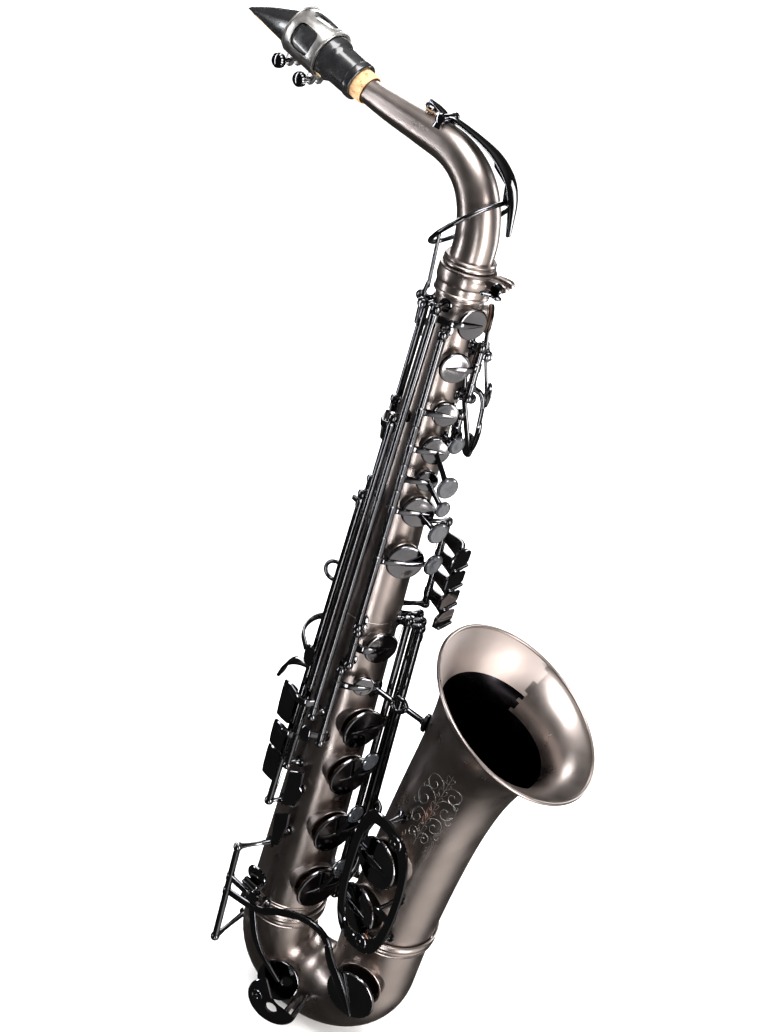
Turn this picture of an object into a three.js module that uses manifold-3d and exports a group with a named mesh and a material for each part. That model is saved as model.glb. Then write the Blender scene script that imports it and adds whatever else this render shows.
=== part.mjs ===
// Alto saxophone, built as separate bodies. Millimetres, +Z up the body tube, +X to the bell.
// While building, the origin is the centre of the ring that joins body and bow.
// The last step moves everything so that the strap ring is the origin.
import * as THREE from "three";
import { mergeVertices } from "three/addons/utils/BufferGeometryUtils.js";
import Module from "manifold-3d";

const wasm = await Module();
wasm.setup();

// Body tube
const BODY_LENGTH = 474;
const BODY_FOOT_RADIUS = 26;
const BODY_TOP_RADIUS = 13.1;
const WALL = 0.9;
// Bow: two legs joined by a half circle
const BOW_RADIUS = 37.7;
const BOW_LEG = 20;
const BOW_START_TUBE = 26;
const BOW_END_TUBE = 30.2;
const BELL_RING = [75.4, 29.6];
// Bell: centre line control points in the X, Z plane and tube radius along it
const BELL_LINE = [[75.4, 29.6], [79.5, 92], [84.8, 180], [108, 227]];
const BELL_RADII = [[0, 30.4], [0.3, 30.8], [0.52, 31.8], [0.68, 34], [0.8, 38], [0.88, 43], [0.94, 49.5],
  [0.98, 56.5], [1, 61.2]];
// Neck: centre line in its own plane, from the tenon to the cork end
const NECK_LINE = [[0, 477], [0, 492], [-4.5, 508.5], [-13.5, 521.3], [-28, 530], [-49, 533.8], [-72, 537],
  [-90, 540.4], [-118, 548.4]];
const NECK_RADII = [12.2, 12, 11.6, 11, 10.2, 9.2, 8.1, 7.1, 7];
const NECK_SWING = -12;
const OCTAVE_RING = 23.9;
const OCTAVE_RING_AT = [-5.7, 498.2];
const OCTAVE_RING_TILT = 0.81;
// Mouthpiece: distances run along its axis from the cork end of the neck
const SHANK = -23;
const MOUTH_TIP = 60;
const SHANK_BORE = 8.9;
// Keywork
const CUP_THICK = 2.6;
const CHIMNEY = 3.4;
const SEAT_GAP = 0.35;
const TUBE_OUT = 2.3;
const TUBE_BORE = 1.45;
const ROD = 1.1;
const GAP = 0.35;
const STRAP_Z = 262;
const STRAP_OFFSET = 9.5;

const RAD = Math.PI / 180;
const V = (x, y, z) => new THREE.Vector3(x, y, z);

// ---------- solids ----------

function solidFrom(points, faces) {
  const verts = new Float32Array(points.length * 3);
  points.forEach((p, i) => verts.set([p.x, p.y, p.z], i * 3));
  let volume = 0;
  for (const [a, b, c] of faces) {
    volume += points[a].dot(V(0, 0, 0).crossVectors(points[b], points[c]));
  }
  const flat = new Uint32Array(faces.length * 3);
  faces.forEach(([a, b, c], i) => flat.set(volume > 0 ? [a, b, c] : [a, c, b], i * 3));
  const mesh = new wasm.Mesh({ numProp: 3, vertProperties: verts, triVerts: flat });
  return new wasm.Manifold(mesh);
}

// A closed three.js geometry as a solid: only positions are kept, shared points are merged.
function solidOf(geometry) {
  geometry.deleteAttribute("normal");
  geometry.deleteAttribute("uv");
  const merged = mergeVertices(geometry, 1e-4);
  const place = merged.getAttribute("position");
  const points = [];
  for (let i = 0; i < place.count; i += 1) {
    points.push(V(0, 0, 0).fromBufferAttribute(place, i));
  }
  const index = merged.getIndex().array;
  const faces = [];
  for (let i = 0; i < index.length; i += 3) {
    const [a, b, c] = [index[i], index[i + 1], index[i + 2]];
    if (a !== b && b !== c && c !== a) {
      faces.push([a, b, c]);
    }
  }
  return solidFrom(points, faces);
}

function frameFor(axis) {
  const w = axis.clone().normalize();
  const seed = Math.abs(w.z) < 0.9 ? V(0, 0, 1) : V(1, 0, 0);
  const u = V(0, 0, 0).crossVectors(seed, w).normalize();
  const v = V(0, 0, 0).crossVectors(w, u);
  return { u, v, w };
}

// Rings of equal length skinned into one body; either capped at both ends or closed on itself.
function skin(rings, closed) {
  const count = rings[0].length;
  const points = rings.flat();
  const faces = [];
  const last = closed ? rings.length : rings.length - 1;
  for (let k = 0; k < last; k += 1) {
    const here = k * count;
    const next = ((k + 1) % rings.length) * count;
    for (let i = 0; i < count; i += 1) {
      const j = (i + 1) % count;
      faces.push([here + i, here + j, next + j]);
      faces.push([here + i, next + j, next + i]);
    }
  }
  if (!closed) {
    const end = (rings.length - 1) * count;
    for (let i = 1; i < count - 1; i += 1) {
      faces.push([0, i + 1, i]);
      faces.push([end, end + i, end + i + 1]);
    }
  }
  return solidFrom(points, faces);
}

function circle(centre, u, v, radius, sides) {
  const ring = [];
  for (let i = 0; i < sides; i += 1) {
    const t = (i + 0.5) / sides * Math.PI * 2;
    const [across, along] = [Math.cos(t) * radius, Math.sin(t) * radius];
    ring.push(centre.clone().addScaledVector(u, across).addScaledVector(v, along));
  }
  return ring;
}

// A body turned about an axis: profile is a list of [radius, height] along it, capped at both ends.
function turned(centre, axis, profile, sides) {
  const { u, v, w } = frameFor(axis);
  const first = profile[0][1];
  const last = profile[profile.length - 1][1];
  const outline = [[0, first], ...profile, [0, last]].map(([r, h]) => new THREE.Vector2(r, h));
  const geometry = new THREE.LatheGeometry(outline, sides, Math.PI / 2 + Math.PI / sides);
  const turn = new THREE.Matrix4().makeBasis(u, w, v.clone().negate()).setPosition(centre);
  return solidOf(geometry.applyMatrix4(turn));
}

function rod(a, b, radius, sides = 6) {
  const axis = b.clone().sub(a);
  return turned(a, axis, [[radius, 0], [radius, axis.length()]], sides);
}

function pipe(a, b, outer, inner, sides = 6) {
  const axis = b.clone().sub(a);
  const w = axis.clone().normalize();
  const bore = rod(a.clone().addScaledVector(w, -1), b.clone().addScaledVector(w, 1), inner, sides);
  return rod(a, b, outer, sides).subtract(bore);
}

// A bar of rectangular section through a list of points; side is the direction of its width.
function bar(path, side, widths, thick) {
  const rings = path.map((p, i) => {
    const before = path[Math.max(i - 1, 0)];
    const after = path[Math.min(i + 1, path.length - 1)];
    const along = after.clone().sub(before).normalize();
    const up = V(0, 0, 0).crossVectors(along, side).normalize();
    const wide = V(0, 0, 0).crossVectors(up, along).normalize();
    const width = Array.isArray(widths) ? widths[i] : widths;
    const corner = (s, t) => p.clone()
      .addScaledVector(wide, s * width / 2)
      .addScaledVector(up, t * thick / 2);
    return [corner(-1, -1), corner(1, -1), corner(1, 1), corner(-1, 1)];
  });
  return skin(rings, false);
}

// A flat plate: outline in the u, v plane at centre, thickness along u x v.
function plate(centre, u, v, outline, thick) {
  const w = V(0, 0, 0).crossVectors(u, v).normalize();
  const shape = new THREE.Shape(outline.map(([a, b]) => new THREE.Vector2(a, b)));
  const geometry = new THREE.ExtrudeGeometry(shape, { depth: thick, bevelEnabled: false });
  return solidOf(geometry.applyMatrix4(new THREE.Matrix4().makeBasis(u, v, w).setPosition(centre)));
}

function joined(list) {
  return list.slice(1).reduce((sum, item) => sum.add(item), list[0]);
}

// ---------- places on the body tube ----------

const bodyRadius = (z) => BODY_FOOT_RADIUS + (BODY_TOP_RADIUS - BODY_FOOT_RADIUS) * z / BODY_LENGTH;
const outward = (angle) => V(Math.sin(angle * RAD), -Math.cos(angle * RAD), 0);
const sideways = (angle) => V(Math.cos(angle * RAD), Math.sin(angle * RAD), 0);
const onBody = (z, angle, height = 0) => outward(angle).multiplyScalar(bodyRadius(z) + height).setZ(z);

// ---------- places on the bow and bell ----------

const BOW_CENTRE = V(BOW_RADIUS, 0, -BOW_LEG);

function bowPath() {
  const steps = [{ p: V(0, 0, -GAP), d: V(0, 0, -1) }];
  for (let i = 0; i <= 10; i += 1) {
    const t = i / 10 * Math.PI;
    const p = BOW_CENTRE.clone().add(V(-Math.cos(t), 0, -Math.sin(t)).multiplyScalar(BOW_RADIUS));
    steps.push({ p, d: V(Math.sin(t), 0, -Math.cos(t)) });
  }
  steps.push({ p: V(BELL_RING[0], 0, BELL_RING[1] - GAP), d: V(0.07, 0, 1).normalize() });
  return steps;
}

const BELL_CURVE = new THREE.CubicBezierCurve3(...BELL_LINE.map(([x, z]) => V(x, 0, z)));

function bellRadius(s) {
  for (let i = 1; i < BELL_RADII.length; i += 1) {
    const [s0, r0] = BELL_RADII[i - 1];
    const [s1, r1] = BELL_RADII[i];
    if (s <= s1) {
      return r0 + (r1 - r0) * (s - s0) / (s1 - s0);
    }
  }
  return BELL_RADII[BELL_RADII.length - 1][1];
}

function tubeRings(steps, sides) {
  return steps.map(({ p, d, r }) => {
    const v = V(0, 1, 0);
    const u = V(0, 0, 0).crossVectors(v, d).normalize();
    return circle(p, u, v, r, sides);
  });
}

function bowSteps(shrink) {
  const path = bowPath();
  return path.map(({ p, d }, i) => ({
    p, d, r: BOW_START_TUBE + (BOW_END_TUBE - BOW_START_TUBE) * i / (path.length - 1) - shrink,
  }));
}

const BELL_STOPS = [0, 0.2, 0.4, 0.56, 0.68, 0.76, 0.83, 0.88, 0.92, 0.96, 1];

function bellSteps(shrink, from = 0) {
  return BELL_STOPS.map((s) => ({
    p: BELL_CURVE.getPoint(from + s * (1 - from)),
    d: BELL_CURVE.getTangent(from + s * (1 - from)),
    r: bellRadius(s) - shrink,
  }));
}

// Longer end pieces let the inner cut pass cleanly through both mouths of a tube.
function cutter(steps, reach = 2) {
  const first = steps[0];
  const last = steps[steps.length - 1];
  const start = { p: first.p.clone().addScaledVector(first.d, -reach), d: first.d, r: first.r };
  const end = { p: last.p.clone().addScaledVector(last.d, reach), d: last.d, r: last.r };
  return [start, ...steps, end];
}

// ---------- tone holes ----------

// Each hole: seat centre axis point, direction, radius of the chimney and of the key cup.
function bodyHole(z, angle, cup) {
  const n = outward(angle);
  return { at: V(0, 0, z), n, reach: bodyRadius(z) + CHIMNEY, cup, wall: bodyRadius(z) };
}

function bellHole(z, angle, cup) {
  let t = 0;
  while (BELL_CURVE.getPoint(t).z < z) {
    t += 0.005;
  }
  const at = BELL_CURVE.getPoint(t);
  return { at, n: outward(angle), reach: bellRadius(t) + CHIMNEY, cup, wall: bellRadius(t) };
}

const HOLES = {
  e_high: bodyHole(450, 52, 9),
  f_palm: bodyHole(449, 118, 8.5),
  fs_high: bodyHole(432, -152, 8),
  eb_palm: bodyHole(421, 154, 8.5),
  d_palm: bodyHole(424, 42, 9),
  vent: bodyHole(404, -146, 4.6),
  c_vent: bodyHole(397, 45, 7.5),
  c_side: bodyHole(373, -66, 9),
  b: bodyHole(374, 46, 8.5),
  bis: bodyHole(354.5, 46, 6.6),
  a: bodyHole(334, 46, 10),
  bb_side: bodyHole(318, -68, 10),
  g: bodyHole(300, 47, 11.5),
  g_sharp: bodyHole(236, 50, 11),
  fs_trill: bodyHole(207, 40, 7),
  fs: bodyHole(175, 51, 14.5),
  f: bodyHole(137, 51, 15),
  e: bodyHole(89, 51, 15.5),
  d: bodyHole(40, 50, 16.5),
  c: { at: V(75.4, 0, -8), n: V(0, -1, 0), reach: 29.6 + CHIMNEY, cup: 18, wall: 29.4 },
  c_sharp: { at: V(75.6, 0, -2), n: V(0, 1, 0), reach: 29.8 + CHIMNEY, cup: 15.5, wall: 29.6 },
  eb: {
    at: BOW_CENTRE.clone().add(V(-Math.sin(32 * RAD), 0, -Math.cos(32 * RAD)).multiplyScalar(BOW_RADIUS)),
    n: V(0.1, -0.97, 0.22).normalize(), reach: 27.2 + CHIMNEY, cup: 15.6, wall: 27,
  },
  b_low: bellHole(56, -22, 17),
  bb_low: bellHole(99, -22, 17.5),
};

const seat = (hole, height = 0) => hole.at.clone().addScaledVector(hole.n, hole.reach + height);

function chimney(hole) {
  const radius = hole.cup - 1.6;
  return turned(hole.at, hole.n, [[radius, hole.wall * 0.72], [radius, hole.reach]], 10);
}

function bore(hole) {
  const radius = hole.cup - 2.6;
  return turned(hole.at, hole.n, [[radius, hole.wall * 0.6], [radius, hole.reach + 2]], 10);
}

// ---------- posts, rods and keys ----------

// A post stands on a tube and carries a ball; a bored post lets a rod pass along its axis.
function post(foot, head, axis, bored) {
  const stem = rod(foot, head, 1.7, 4);
  const w = axis.clone().normalize();
  const span = bored ? 2.4 : 1.9;
  const barrel = rod(head.clone().addScaledVector(w, -span), head.clone().addScaledVector(w, span), 3, 6);
  return stem.add(barrel);
}

function postBore(head, axis) {
  const w = axis.clone().normalize();
  return rod(head.clone().addScaledVector(w, -4), head.clone().addScaledVector(w, 4), 1.45, 6);
}

// A cup lying closed over its hole, with the pad it carries.
function cup(hole) {
  const r = hole.cup;
  const profile = [[r, SEAT_GAP], [r, SEAT_GAP + CUP_THICK - 0.8], [r - 1.2, SEAT_GAP + CUP_THICK]];
  return turned(seat(hole), hole.n, profile, 12);
}

const pearl = (at, n, radius) => turned(at, n, [[radius, 0], [radius, 1.6], [radius - 1.4, 2.5]], 10);

// ---------- hinge lines ----------

const LINES = {
  upper: [onBody(443, 10, 9.5), onBody(251, 10, 9.5)],
  lower: [onBody(252, 93, 6.8), onBody(20, 93, 6.8)],
  e_side: [onBody(455, -9, 9.6), onBody(176, -14, 9.6)],
  c_side: [onBody(386, -24, 9.6), onBody(130, -29, 9.6)],
  bb_side: [onBody(332, -39, 9.6), onBody(92, -43, 9.6)],
  low_b: [onBody(246, 103, 14.5), onBody(40, 103, 15.5)],
  low_bb: [onBody(246, 116, 14.5), onBody(76, 116, 15.5)],
};

const lineDir = (line) => line[1].clone().sub(line[0]).normalize();

function onLine(line, z) {
  const t = (line[0].z - z) / (line[0].z - line[1].z);
  return line[0].clone().lerp(line[1], t);
}

// ---------- every key: hinge, parts, how far it stands open ----------

const keys = [];

// Sense of turning about a hinge that takes a cup away from its hole.
function opening(line, hole) {
  if (!hole) {
    return 1;
  }
  const arm = seat(hole).sub(line[0]);
  return Math.sign(V(0, 0, 0).crossVectors(lineDir(line), arm).dot(hole.n));
}

function addKey(name, line, spans, parts, open = 0, hole = null, bored = false) {
  const barrels = spans.map(([top, bottom]) => {
    const a = onLine(line, top);
    const b = onLine(line, bottom);
    return bored ? pipe(a, b, TUBE_OUT, TUBE_BORE) : rod(a, b, TUBE_OUT);
  });
  let solid = joined([...barrels, ...parts]);
  if (bored) {
    const w = lineDir(line);
    const first = onLine(line, spans[0][0]).addScaledVector(w, -2);
    const last = onLine(line, spans[spans.length - 1][1]).addScaledVector(w, 2);
    solid = solid.subtract(rod(first, last, TUBE_BORE));
  }
  keys.push({ name, solid, pivot: line[0], axis: lineDir(line), open: open * opening(line, hole) });
}

// Arm from a hinge line to the top of a cup, rising a little on the way.
function arm(line, z, hole, width = 3.6, lift = 0) {
  const start = onLine(line, z);
  const end = seat(hole, SEAT_GAP + CUP_THICK + 0.4);
  const toward = end.clone().sub(start);
  const flat = toward.clone().addScaledVector(hole.n, -toward.dot(hole.n)).setZ(0);
  const reach = Math.min(hole.cup + 1, flat.length() - 1);
  flat.normalize();
  const tip = end.clone().addScaledVector(flat, hole.cup * 0.35);
  const knee = end.clone().addScaledVector(flat, -reach).addScaledVector(hole.n, lift);
  return bar([start, knee, end, tip], V(0, 0, 1), [width, width, width, width * 0.5], 1.8);
}

function pearlOn(hole, z, angle, height, radius) {
  const top = onBody(z, angle, height);
  const n = outward(angle);
  const from = seat(hole, SEAT_GAP + CUP_THICK + 0.2);
  const under = top.clone().addScaledVector(n, 0.4);
  return [bar([from, under], V(0, 0, 1), 3, 1.6), pearl(top, n, radius)];
}

const stack = LINES.upper;
addKey("c_vent_key", stack, [[440, 388]], [
  arm(stack, 397, HOLES.c_vent), cup(HOLES.c_vent)], 11, HOLES.c_vent, true);
addKey("b_key", stack, [[387.6, 364]], [
  arm(stack, 374, HOLES.b), cup(HOLES.b), ...pearlOn(HOLES.b, 357, 63, 15, 6.4)], 10, HOLES.b, true);
addKey("bis_key", stack, [[363.6, 347]], [
  arm(stack, 354.5, HOLES.bis), cup(HOLES.bis), ...pearlOn(HOLES.bis, 342, 66, 14, 4.6)], 9, HOLES.bis, true);
addKey("a_key", stack, [[346.6, 316]], [
  arm(stack, 334, HOLES.a), cup(HOLES.a), ...pearlOn(HOLES.a, 326, 68, 14, 6.4)], 9, HOLES.a, true);
addKey("g_key", stack, [[315.6, 254.5]], [
  arm(stack, 300, HOLES.g), cup(HOLES.g), ...pearlOn(HOLES.g, 304, 74, 14, 6.4)], 9, HOLES.g, true);

const base = LINES.lower;
addKey("f_sharp_key", base, [[248.5, 156.5]], [
  arm(base, 175, HOLES.fs, 4), cup(HOLES.fs)], 8, HOLES.fs, true);
addKey("f_key", base, [[156.1, 118.5]], [
  arm(base, 137, HOLES.f, 4), cup(HOLES.f), ...pearlOn(HOLES.f, 156, 58, 14, 6.6)], 8, HOLES.f, true);
addKey("e_key", base, [[118.1, 66.5]], [
  arm(base, 89, HOLES.e, 4), cup(HOLES.e), ...pearlOn(HOLES.e, 112, 58, 14, 6.6)], 8, HOLES.e, true);
addKey("d_key", base, [[66.1, 23.5]], [
  arm(base, 40, HOLES.d, 4), cup(HOLES.d), ...pearlOn(HOLES.d, 66, 58, 14, 6.6)], 8, HOLES.d, true);

// Side keys: a long barrel with a finger plate near its foot, turned to face the player's palm.
const SIDE_FACE = -22;
function sideTouch(line, z, at, size, angles) {
  const [angle, height] = at;
  const [half, width] = size;
  const outline = [[-half, -width / 2], [half, -width / 2], [half, width / 2], [-half, width / 2]];
  const armZ = Math.max(z + half - 3, line[1].z + 4.8);
  return [
    bar([onLine(line, armZ), ...angles.map(([a, h]) => onBody(armZ, a, h)), onBody(armZ, angle, height)],
      V(0, 0, 1), 4.5, 1.8),
    plate(onBody(z, angle, height), V(0, 0, 1), sideways(SIDE_FACE), outline, 2),
  ];
}

addKey("high_e_key", LINES.e_side, [[452.6, 178.4]], [
  arm(LINES.e_side, 450, HOLES.e_high, 3.6, 1), cup(HOLES.e_high),
  ...sideTouch(LINES.e_side, 175.5, [-44, 17.5], [14.5, 13], [[-20, 17], [-32, 17.5]])]);
// The two other side keys push a separate short key that carries the cup.
addKey("side_c_touch", LINES.c_side, [[383.6, 132.4]], [
  bar([onLine(LINES.c_side, 380), onBody(380, -37, 12)], V(0, 0, 1), 3.4, 1.8),
  ...sideTouch(LINES.c_side, 148, [-43.4, 17], [10, 13], [[-34, 16.4]])]);
addKey("side_b_flat_touch", LINES.bb_side, [[329.6, 94.4]], [
  bar([onLine(LINES.bb_side, 326), onBody(326, -52, 12)], V(0, 0, 1), 3.4, 1.8),
  ...sideTouch(LINES.bb_side, 123, [-47, 15], [12.5, 13], [])]);
LINES.c_cup = [onBody(384, -102, 6.5), onBody(362, -102, 6.5)];
LINES.bb_cup = [onBody(329, -103, 6.5), onBody(307, -103, 6.5)];
addKey("side_c_cup", LINES.c_cup, [[381.4, 364.6]], [arm(LINES.c_cup, 373, HOLES.c_side), cup(HOLES.c_side)]);
addKey("side_b_flat_cup", LINES.bb_cup, [[326.6, 309.4]], [
  arm(LINES.bb_cup, 318, HOLES.bb_side), cup(HOLES.bb_side)]);

// Palm keys lie along the tube and rock on a short hinge across it.
function across(z, angle, height, half) {
  const middle = onBody(z, angle, height);
  const t = sideways(angle);
  return [middle.clone().addScaledVector(t, -half), middle.clone().addScaledVector(t, half)];
}

// Barrel between two posts, clear of both heads.
function shortRod(line) {
  const w = line[1].clone().sub(line[0]).normalize();
  return rod(line[0].clone().addScaledVector(w, 2.3), line[1].clone().addScaledVector(w, -2.3), TUBE_OUT);
}

function rocker(name, line, hole, touchZ, touchAngle, touchHeight, size) {
  const middle = line[0].clone().lerp(line[1], 0.5);
  const top = seat(hole, SEAT_GAP + CUP_THICK + 0.4);
  const edge = top.clone().add(V(0, 0, -hole.cup - 1.5));
  const touch = onBody(touchZ, touchAngle, touchHeight);
  const n = outward(touchAngle);
  const side = sideways(touchAngle);
  const barrel = shortRod(line);
  const outline = [[-size, -6], [size * 0.5, -8], [size, -3], [size, 5], [0, 8], [-size, 5]];
  keys.push({
    name,
    solid: joined([
      barrel, cup(hole),
      bar([top, edge, middle, touch.clone().addScaledVector(n, 0.6)], side, [3, 3.6, 3.6, 5], 1.8),
      plate(touch, side, V(0, 0, 1), outline, 1.8),
    ]),
    pivot: middle, axis: line[1].clone().sub(line[0]).normalize(), open: 0,
  });
}

const PALM_F = across(430, 118, 8.5, 7);
const PALM_EB = across(397, 150, 8.5, 7);
LINES.palm_d = [onBody(436, 86, 6.5), onBody(405, 86, 6.5)];
rocker("palm_f_key", PALM_F, HOLES.f_palm, 404, 118, 15, 6);
rocker("palm_e_flat_key", PALM_EB, HOLES.eb_palm, 366, 136, 16, 6);
addKey("palm_d_key", LINES.palm_d, [[433.6, 407.4]], [
  arm(LINES.palm_d, 424, HOLES.d_palm), cup(HOLES.d_palm),
  bar([onLine(LINES.palm_d, 412), onBody(408, 96, 14.6), onBody(386, 100, 15.5)], sideways(94), 4, 1.8),
  plate(onBody(382, 100, 14.6), sideways(100), V(0, 0, 1),
    [[-6, -9], [4, -10], [7, 0], [4, 9], [-5, 8]], 1.8)]);

LINES.front_f = [onBody(396, 76, 6.5), onBody(378, 76, 6.5)];
addKey("front_f_touch", LINES.front_f, [[393.6, 380.4]], [
  bar([onLine(LINES.front_f, 386), onBody(384, 62, 15)], V(0, 0, 1), 4, 1.8),
  pearl(onBody(382, 60, 14.6), outward(60), 5)]);

LINES.fs_high = [onBody(444, -116, 9.5), onBody(214, -118, 9.5)];
addKey("high_f_sharp_key", LINES.fs_high, [[441.6, 216.4]], [
  bar([onLine(LINES.fs_high, 432), seat(HOLES.fs_high, 3.3)], V(0, 0, 1), 3.6, 1.8), cup(HOLES.fs_high),
  bar([onLine(LINES.fs_high, 222), onBody(222, -96, 15.4), onBody(222, -66, 17.4), onBody(222, -38, 17.8)],
    V(0, 0, 1), 4.5, 1.8),
  plate(onBody(219, -31, 17.4), V(0, 0, 1), sideways(-28),
    [[-7, -4.5], [7, -4.5], [7, 4.5], [-7, 4.5]], 1.8)]);

LINES.g_sharp = [onBody(246, 11, 6.5), onBody(222, 11, 6.5)];
addKey("g_sharp_key", LINES.g_sharp, [[243.6, 224.4]], [
  arm(LINES.g_sharp, 236, HOLES.g_sharp, 5), cup(HOLES.g_sharp)]);
LINES.fs_trill = [onBody(217, 4, 8), onBody(160, 4, 8)];
addKey("f_sharp_trill_key", LINES.fs_trill, [[214.6, 162.4]], [
  arm(LINES.fs_trill, 207, HOLES.fs_trill), cup(HOLES.fs_trill),
  bar([onLine(LINES.fs_trill, 165), onBody(165, -10, 13)], V(0, 0, 1), 4, 1.8),
  plate(onBody(165, -12, 12.6), sideways(-12), V(0, 0, 1), [[-4, -5], [4, -5], [4, 5], [-4, 5]], 1.8)]);

// Low keys worked by the right little finger
LINES.pinky = [onBody(55, -39, 24), V(-30.4, -37.6, -31)];
const LOW_EB = across(10, -22, 9, 7);
keys.push({
  name: "low_e_flat_key",
  solid: joined([
    shortRod(LOW_EB), cup(HOLES.eb),
    bar([onBody(44, -16, 19.6), onBody(34, -17, 15), onBody(10, -22, 9), V(0, -38, -18), seat(HOLES.eb, 3.4)],
      V(1, 0, 0), [5, 4, 4, 4, 3], 1.8),
    plate(onBody(44, -16, 19), V(0, 0, 1), sideways(-16), [[-6, -6], [6, -6], [6, 9], [-6, 9]], 2),
  ]),
  pivot: LOW_EB[0], axis: lineDir(LOW_EB), open: 0,
});
addKey("low_c_key", LINES.pinky, [[52.6, -28.6]], [
  bar([onLine(LINES.pinky, 14), V(-2, -41, 17), V(14, -41.6, 30), V(38, -42, 39), V(49.5, -41.4, 33)],
    V(0, 0.02, 1).normalize(), 4.5, 1.8),
  bar([V(47.5, -41.4, 36), V(52, -41.2, 27), V(57.7, -39.4, 15), V(68, -37.6, -3), V(79, -36.2, -23)],
    V(0.94, 0, 0.34), [5, 5, 5, 5, 2.5], 1.8),
  cup(HOLES.c),
  bar([onLine(LINES.pinky, 27), onBody(30, -16, 20.4)], V(0, 0, 1), 5, 1.8),
  plate(onBody(30, -16, 20), V(0, 0, 1), sideways(-16),
    [[-6, -6], [6, -6], [6, 9], [-6, 9]], 2)], 5, HOLES.c);

// Octave work on the body
const OCTAVE_THUMB = across(384, -146, 7, 6);
const PIN_ANGLE = -62;
const OCTAVE_PIN = across(452, PIN_ANGLE, 6, 6);
const thumbLever = joined([
  shortRod(OCTAVE_THUMB),
  bar([onBody(384, -146, 7), onBody(366, -143, 7)], sideways(-143), [4, 6], 1.8),
  plate(onBody(361, -143, 6.2), sideways(-143), V(0, 0, 1),
    [[-7, -6], [7, -6], [8, 2], [4, 8], [-4, 8], [-8, 2]], 2),
]);
keys.push({
  name: "octave_thumb_lever", solid: thumbLever, pivot: OCTAVE_THUMB[0],
  axis: lineDir(OCTAVE_THUMB), open: 0 });
const pinKey = joined([
  shortRod(OCTAVE_PIN),
  bar([onBody(452, PIN_ANGLE, 6), onBody(462, PIN_ANGLE, 5.4)], sideways(PIN_ANGLE), 3, 1.8),
  rod(onBody(460, PIN_ANGLE, 4.8), outward(PIN_ANGLE).multiplyScalar(20).setZ(490), 1.1, 8),
  bar([onBody(452, PIN_ANGLE, 6), onBody(438, PIN_ANGLE, 5.5)], sideways(PIN_ANGLE), 3, 1.8),
]);
keys.push({
  name: "octave_pin_key", solid: pinKey, pivot: OCTAVE_PIN[0], axis: lineDir(OCTAVE_PIN), open: 0 });
LINES.vent = [onBody(413, -168, 6.5), onBody(395, -168, 6.5)];
addKey("body_octave_key", LINES.vent, [[410.6, 397.4]], [
  arm(LINES.vent, 404, HOLES.vent, 3), cup(HOLES.vent)]);

// Long keys of the bell and of the low C sharp hole
function bellArm(line, z, hole, bend) {
  const start = onLine(line, z);
  const end = seat(hole, SEAT_GAP + CUP_THICK + 0.4);
  return bar([start, ...bend, end, end.clone().add(V(8, -2.6, 0))], V(0, 0, 1), 5, 1.8);
}

addKey("low_b_key", LINES.low_b, [[243.6, 42.4]], [
  bellArm(LINES.low_b, 56, HOLES.b_low, [V(44.2, -2, 56), V(45.4, -15, 56), V(46.6, -29, 56)]),
  cup(HOLES.b_low)], 6, HOLES.b_low);
addKey("low_b_flat_key", LINES.low_bb, [[243.6, 78.4]], [
  bellArm(LINES.low_bb, 99, HOLES.bb_low,
    [V(44.5, 11, 99), V(46, -3, 99), V(47.2, -15, 99), V(48.6, -29.4, 99)]),
  cup(HOLES.bb_low)], 5, HOLES.bb_low);
LINES.c_sharp = [onBody(246, 130, 14), onBody(14, 130, 14)];
addKey("low_c_sharp_key", LINES.c_sharp, [[243.6, 16.4]], [
  bar([onLine(LINES.c_sharp, 22), V(50, 38, 12), seat(HOLES.c_sharp, 3.4)], V(0, 0, 1), [4, 4, 3], 1.8),
  cup(HOLES.c_sharp)]);

// Left little finger table: four plates on one hinge line
const TABLE_FACE = 76;
LINES.table = [onBody(313.4, 134, 17), onBody(252.6, 134, 17)];
const TABLE = [["g_sharp_lever", 311, 297], ["c_sharp_lever", 296.6, 283], ["low_b_lever", 282.6, 269],
  ["b_flat_lever", 268.6, 255]];
for (const [name, top, bottom] of TABLE) {
  const z = (top + bottom) / 2;
  const half = (top - bottom) / 2 - 0.4;
  addKey(name, LINES.table, [[top, bottom]], [
    bar([onLine(LINES.table, z), onBody(z, 112, 25.4), onBody(z, 100, 26)], V(0, 0, 1),
      [6, half * 2, half * 2], 2),
    plate(onBody(z, 98, 26), sideways(TABLE_FACE), V(0, 0, 1),
      [[-11, -half], [8, -half], [8, half], [-11, half]], 2)]);
}

// ---------- body tube ----------

const bodyPosts = [];
const bodyBores = [];

function linePost(line, z, bored = false) {
  const head = onLine(line, z);
  const flat = head.clone().setZ(0).normalize();
  bodyPosts.push(post(flat.multiplyScalar(bodyRadius(z) - 0.4).setZ(z), head, lineDir(line), bored));
  if (bored) {
    bodyBores.push(postBore(head, lineDir(line)));
  }
}

for (const z of [443, 251.5]) {
  linePost(LINES.upper, z, true);
}
for (const z of [251.5, 20.6]) {
  linePost(LINES.lower, z, true);
}
linePost(LINES.e_side, 455.2);
linePost(LINES.e_side, 176);
linePost(LINES.c_side, 386.2);
linePost(LINES.c_side, 130);
linePost(LINES.bb_side, 332.2);
linePost(LINES.bb_side, 92);

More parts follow.
